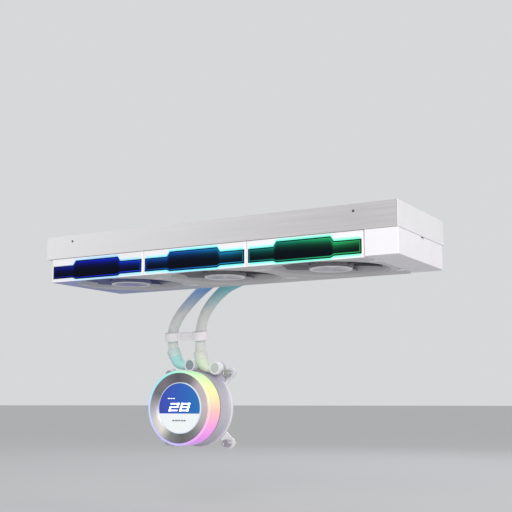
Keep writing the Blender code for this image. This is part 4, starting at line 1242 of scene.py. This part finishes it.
def fanFrame(number, x):
    node, top, bottom = f"fan_{number}_frame", fanLook["top"], fanLook["bottom"]
    shell = block((x - 0.0599, -0.060, bottom), (x + 0.0599, 0.060, top))
    roundEdges(shell, [e for e in shell.edges if abs(e.verts[0].co.z - e.verts[1].co.z) > 0.001], 0.0012, 4)
    roundEdges(shell, sharpEdges(shell, 60), 0.00035, 2)
    duct = [
        (0, top + 0.001), (0.0564, top + 0.001), (0.0564, bottom + 0.0040), (0.0566, bottom + 0.0024),
        (0.0571, bottom + 0.0011), (0.0577, bottom + 0.0003), (0.0584, bottom - 0.0001),
        (0.0584, bottom - 0.002),
        (0, bottom - 0.002),
    ]
    pocket = windowPrism(x, [(-0.0605, 0.0007), (-0.0597, 0.0003), (-0.0579, 0.0003)])
    cuts = []
    for i in (-1, 1):
        for j in (-1, 1):
            hole = [(0, top + 0.001), (0.0022, top + 0.001), (0.0022, bottom - 0.001), (0, bottom - 0.001)]
            cuts.append(turned(hole, (x + i * 0.0525, j * 0.0525, 0), steps=24))
            if number > 1 or i > 0:
                seam, row = x + i * 0.060, j * 0.033
                low = (seam - 0.0063, row - 0.0043, bottom - 0.001)
                cuts.append(block(low, (seam + 0.0063, row + 0.0043, bottom + 0.0018)))
    mount = [
        (0, top), (0.0196, top), (0.0200, top - 0.0004), (0.0200, top - 0.0028), (0.0196, top - 0.0032),
        (0, top - 0.0032)
    ]
    parts = [
        carved(shell, turned(duct, (x, 0, 0), steps=128), pocket, merged(*cuts)),
        turned(mount, (x, 0, 0), steps=72)
    ]
    for angle in (40, 140, 220, 320):
        arm = block((0.012, -0.0016, top - 0.0028), (0.0566, 0.0016, top - 0.0002), 0.0006, 3)
        bmesh.ops.rotate(
            arm, cent=(0, 0, 0), matrix=Matrix.Rotation(math.radians(angle), 3, "Z"), verts=arm.verts
        )
        bmesh.ops.translate(arm, vec=(x, 0, 0), verts=arm.verts)
        parts.append(arm)
    makePiece(
        f"fan_{number}_shell", merged(*parts), fanShell, stands=node, weighted=True
    )


def fanWindow(number, x):
    node = f"fan_{number}_mirror"
    low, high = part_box(node)
    bm = windowPrism(x, [(low.y, -0.00025), (low.y + 0.00025, 0.0), (high.y, 0.0)])
    makePiece(f"fan_{number}_glass", bm, litWindow, stands=node, weighted=True)
    low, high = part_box(f"fan_{number}_light_board")
    parts = [paint(block(low, high, 0.0001, 1), 0)]
    for i in range(16):
        place = low.x + 0.004 + i * (high.x - low.x - 0.008) / 15
        parts.append(
            paint(
                block(
                    (place - 0.0012, low.y - 0.00012, high.z - 0.0032),
                    (place + 0.0012, low.y + 0.0001, high.z - 0.0010), 0.00004, 1
                ),
                1
            )
        )
    makePiece(
        f"fan_{number}_board", merged(*parts), [boardGreen, chipFinish], stands=f"fan_{number}_light_board",
    )


def fanStator(number, x):
    node = f"fan_{number}_stator"
    low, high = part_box(node)
    core = turned(
        [(0.0019, high.z), (0.006, high.z), (0.006, low.z), (0.0019, low.z)], (x, 0, 0), "Z", 32, True
    )
    parts = [core]
    for i in range(8):
        tooth = block((0.0055, -0.0022, low.z + 0.0022), (0.0150, 0.0022, high.z - 0.0040), 0.0009, 3)
        shoe = block((0.0150, -0.0052, low.z + 0.0014), (0.0166, 0.0052, high.z - 0.0038), 0.0003, 2)
        for bm in (tooth, shoe):
            bmesh.ops.rotate(
                bm, cent=(0, 0, 0), matrix=Matrix.Rotation(math.pi * i / 4, 3, "Z"), verts=bm.verts
            )
            bmesh.ops.translate(bm, vec=(x, 0, 0), verts=bm.verts)
        parts += [tooth, paint(shoe, 1)]
    makePiece(f"fan_{number}_coils", merged(*parts), [winding, steel], stands=node)


def fanScrews(number, x):
    parts = []
    for i in (-1, 1):
        for j in (-1, 1):
            head = crossHead(0.0019, 0.0010, 0.0006)
            parts.append(aimed(head, (x + i * 0.0525, j * 0.0525, fanLook["bottom"] + 0.0022), (0, 0, -1)))
    makePiece(f"fan_{number}_screws", merged(*parts), steel)


for number, x in enumerate(fanLook["centres"], 1):
    fanFrame(number, x)
    fanWindow(number, x)
    fanRotor(number, x)
    fanStator(number, x)
    fanScrews(number, x)
for number in (1, 2, 3):
    for side in ("front", "back"):
        node = f"link_clip_{number}_{side}"
        makePiece(node + "_plate", cadCopy(node, 0.0003), white, stands=node)
print("fans made")


# end cover

coverLook = {"latch": (0.0, -0.0243), "mark": (0.190, -0.040)}


def endCover():
    makePiece(
        "end_cover_shell", cadCopy("end_cover", 0.0005, 3), coverWhite, stands="end_cover",
        weighted=True
    )
    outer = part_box("end_cover")[1].x
    y, z = coverLook["latch"]
    # a thin black block on the face stands for the painted shade inside the latch slot
    slot = block(
        (outer - 0.0008, y - 0.0035, z - 0.0016), (outer + 0.0001, y + 0.0035, z - 0.0002), 0.0002, 2
    )
    lip = block(
        (outer - 0.0006, y - 0.0020, z - 0.0022), (outer + 0.0004, y + 0.0050, z - 0.0015), 0.0002, 2
    )
    makePiece(
        "end_cover_latch", merged(paint(slot, 1), paint(lip, 0)), [coverWhite, blackMoulded],
    )


endCover()
print("end cover made")


# pump head

pumpLook = {
    "front": 0.060,
    "ring": 0.0415,
    "glass": 0.0282,
}


def pumpTurned(name, profile, finishes, stands, steps=96, closed=False, extra=None, choose=None):
    bm = turned(profile, (pumpAxis[0], 0, pumpAxis[2]), "Y", steps, closed)
    if choose:
        paint(bm, 1, choose)
    if extra:
        bm = merged(bm, *extra)
    return makePiece(name, bm, finishes, stands=stands)


def pumpFace():
    front, r = pumpLook["front"], pumpLook["ring"]
    inner, back = r - 0.0026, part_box("light_ring")[1].y
    pumpTurned("light_ring_diffuser", [
        (inner, back), (r, back), (r, front + 0.0052), (r - 0.0002, front + 0.0049),
        (r - 0.0002, front + 0.0046), (r, front + 0.0043),
        (r, front + 0.0014), (r - 0.0004, front + 0.0006), (r - 0.0012, front), (inner + 0.0003, front),
        (inner, front + 0.0003),
    ], ringLit, "light_ring", 128, True)
    dish, glass = inner - 0.0003, pumpLook["glass"]
    pumpTurned("bezel_dish", [
        (glass + 0.0003, front + 0.0044), (dish, front + 0.0026), (dish, front + 0.0009),
        (dish - 0.0003, front + 0.0006), (dish - 0.0010, front + 0.00068),
        (glass + 0.0011, front + 0.00222), (glass + 0.0006, front + 0.0026),
        (glass + 0.0003, front + 0.0030),
    ], bezelSpun, "dished_bezel", 128, True)
    pumpTurned("display_glass", [
        (0, front + 0.005), (glass, front + 0.005), (glass, front + 0.0024),
        (glass - 0.0004, front + 0.0020), (0, front + 0.0020),
    ], screenLit, "display_panel", 96)


displayLook = {
    "digits": (2, 8),
    "wide": 0.0118,
    "tall": 0.0090,
    "stroke": 0.0016,
    "step": 0.0145,  # from one digit to the next
    "slant": 0.32,
    "corner": (-0.0129, -0.0036),
    "face": 0.0619,
    "upperBars": [(-0.0155, -0.0125), (-0.0118, -0.0096), (-0.0089, -0.0060)],
    "upperBand": (0.0100, 0.0108),
    "lowerBars": [
        (-0.0090, -0.0062), (-0.0054, -0.0020), (-0.0012, 0.0014), (0.0024, 0.0052), (0.0060, 0.0088)
    ],
    "lowerBand": (-0.0146, -0.0132),
}
segments = {  # which bars of a block numeral are drawn
    2: ("top", "upRight", "middle", "lowLeft", "bottom"),
    8: ("top", "upLeft", "upRight", "middle", "lowLeft", "lowRight", "bottom"),
}


def plainBars(spans, band):
    x, z, face = pumpAxis[0], pumpAxis[2], displayLook["face"]
    bars = []
    for left, right in spans:
        bars.append(block((x + left, face, z + band[0]), (x + right, face + 0.00015, z + band[1])))
    return merged(*bars)


# slanted block numerals and short plain bars
def displayNumerals():
    wide, tall, stroke = displayLook["wide"], displayLook["tall"], displayLook["stroke"]
    side, half = stroke * 1.5, stroke * 0.4
    bars = {
        "top": (0, tall - stroke, wide, tall),
        "middle": (0, tall / 2 - half, wide, tall / 2 + half),
        "bottom": (0, 0, wide, stroke),
        "upLeft": (0, tall / 2, side, tall),
        "upRight": (wide - side, tall / 2, wide, tall),
        "lowLeft": (0, 0, side, tall / 2),
        "lowRight": (wide - side, 0, wide, tall / 2),
    }
    parts = []
    for place, number in enumerate(displayLook["digits"]):
        for bar in segments[number]:
            left, low, right, high = bars[bar]
            along = place * displayLook["step"]
            parts.append(block((left + along, 0, low), (right + along, 0.00015, high)))
    digits = merged(*parts)
    for vert in digits.verts:
        vert.co.x += (vert.co.z - tall / 2) * displayLook["slant"]
    across, up = displayLook["corner"]
    corner = (pumpAxis[0] + across, displayLook["face"], pumpAxis[2] + up)
    bmesh.ops.translate(digits, vec=corner, verts=digits.verts)
    small = plainBars(displayLook["upperBars"], displayLook["upperBand"])
    dark = paint(plainBars(displayLook["lowerBars"], displayLook["lowerBand"]), 1)
    makePiece(
        "display_numerals", merged(digits, small, dark), [numeralLit, numeralDark]
    )


def litFinish(name, colour, glow):
    finish, tree, shader = startFinish(
        name, {"Base Color": (*colour, 1), "Roughness": 0.3, "Emission Strength": glow}
    )
    grain = spread(tree, noise(tree, 700, 2), 0.3, 0.7, 0.96, 1.0)
    shade = addNode(tree, "ShaderNodeCombineXYZ", {0: grain, 1: grain, 2: grain}).outputs[0]
    tree.links.new(mixed(tree, 1.0, (*colour, 1), shade, "MULTIPLY"), shader.inputs["Emission Color"])
    return finish


numeralLit = litFinish("numeralLit", (0.95, 0.97, 1.0), 0.9)
numeralDark = litFinish("numeralDark", (0.10, 0.11, 0.14), 0.2)


def pumpBody():
    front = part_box("pump_housing")[0].y
    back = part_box("pump_housing")[1].y
    r, flange = pumpLook["ring"] - 0.0005, 0.044
    outline = [
        (0, 0.103), (0.0015, 0.103), (0.0015, 0.094), (0.026, 0.094), (0.026, back),
        (flange - 0.0004, back), (flange, back - 0.0004), (flange, back - 0.0031),
        (flange - 0.0005, back - 0.0036), (r + 0.0006, back - 0.0042), (r, back - 0.0050),
        (r, front + 0.0006), (r - 0.0006, front), (0.034, front), (0.034, 0.091), (0, 0.091),
    ]

    def onFlange(face):
        middle = face.calc_center_median()
        away = (middle - Vector((pumpAxis[0], middle.y, pumpAxis[2]))).length
        return back - 0.0037 < middle.y < 0.1061 and away > 0.043

    ports = [block((-0.1240, 0.1017, -0.1510), (-0.0760, 0.1053, -0.1364), 0.0010, 4)]
    for x, z in ((-0.117, -0.1324), (-0.083, -0.1364)):
        boss = [
            (0, 0.1055), (0.0070, 0.1055), (0.0077, 0.1048), (0.0077, 0.1016), (0.0074, 0.1013), (0, 0.1013)
        ]
        ports.append(turned(boss, (x, 0, z), "Y", 56))
    pumpTurned(
        "pump_body", outline, [pumpWhite, coverWhite], "pump_housing", 112, extra=ports,
        choose=onFlange
    )
    for node, finish, slot, edge in (
        ("display_case", blackMoulded, "dark_plastic", 0.0004),
        ("pump_stator", pumpWinding, "motor_winding", 0.0006),
        ("pump_impeller", blackMoulded, "dark_plastic", 0.0003)
    ):
        makePiece(node + "_body", cadCopy(node, edge), finish, bodyOf[node], node)
    low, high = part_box("cold_plate")
    cold = block(low, high, 0.0010, 3)
    makePiece("cold_plate_block", cold, copperFace, stands="cold_plate", weighted=True)
    makePiece(
        "mount_bracket_plate", cadCopy("mount_bracket", 0.0004), satinPaint, stands="mount_bracket",
        weighted=True
    )


screwLook = {
    "head": 0.0042,
    "headDeep": 0.0055,
    "headRibs": 5,
    "ribPitch": 0.0008,
    "shank": 0.0019,
    "plain": 0.009,  # length of the shank before its thread
    "threadPitch": 0.0006,
}
springLook = {"turns": 4.5, "wire": 0.00032, "radius": 0.0030, "perTurn": 22}


def screwOutline(low, high):
    head, shank, under = screwLook["head"], screwLook["shank"], low + screwLook["headDeep"]
    thread = []
    y = under + screwLook["plain"]
    while y < high - 0.0016:
        thread += [(shank - 0.0003, y), (shank, y + 0.00025), (shank - 0.0003, y + 0.0005)]
        y += screwLook["threadPitch"]
    outline = [
        (0, low + 0.0014), (0.0016, low + 0.0012), (0.0019, low + 0.0003), (0.0023, low),
        (head - 0.0005, low), (head, low + 0.0005)
    ]
    for i in range(screwLook["headRibs"]):
        y, floor = low + 0.0010 + i * screwLook["ribPitch"], head - 0.0002
        outline += [(head, y), (floor, y + 0.0002), (floor, y + 0.0004), (head, y + 0.0006)]
    return outline + [
        (head, under - 0.0004), (head - 0.0004, under), (shank, under), (shank, under + 0.0085), *thread,
        (shank - 0.0003, high - 0.0009), (0.0008, high), (0, high)
    ]


# a steel coil round its screw
def bracketSpring(number, x, z):
    low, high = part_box(f"bracket_spring_{number}")
    wire, radius = springLook["wire"], springLook["radius"]
    steps, long = springLook["turns"] * springLook["perTurn"], high.y - low.y - 2 * wire
    helix = []
    for i in range(int(steps) + 1):
        a = 2 * math.pi * springLook["turns"] * i / steps
        y = low.y + wire + long * i / steps
        helix.append(Vector((x + radius * math.cos(a), y, z + radius * math.sin(a))))
    bm = swept(helix, wire, 8)
    for face in bm.faces:
        face.smooth = True
    mesh = bpy.data.meshes.new(f"bracket_coil_{number}")
    bm.to_mesh(mesh)
    bm.free()
    mesh.materials.append(steel)
    coil = bpy.data.objects.new(mesh.name, mesh)
    bpy.context.scene.collection.objects.link(coil)
    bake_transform(coil)
    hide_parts(f"bracket_spring_{number}")


def bracketScrews():
    for number in (1, 2, 3, 4):
        node = f"bracket_screw_{number}"
        low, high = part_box(node)
        x, z = (low.x + high.x) / 2, (low.z + high.z) / 2
        bm = turned(screwOutline(low.y, high.y), (x, 0, z), "Y", 40)
        makePiece(node + "_body", bm, steel, f"screw_{number}", node)
        bracketSpring(number, x, z)


pumpFace()
displayNumerals()
pumpBody()
bracketScrews()
print("pump head made")
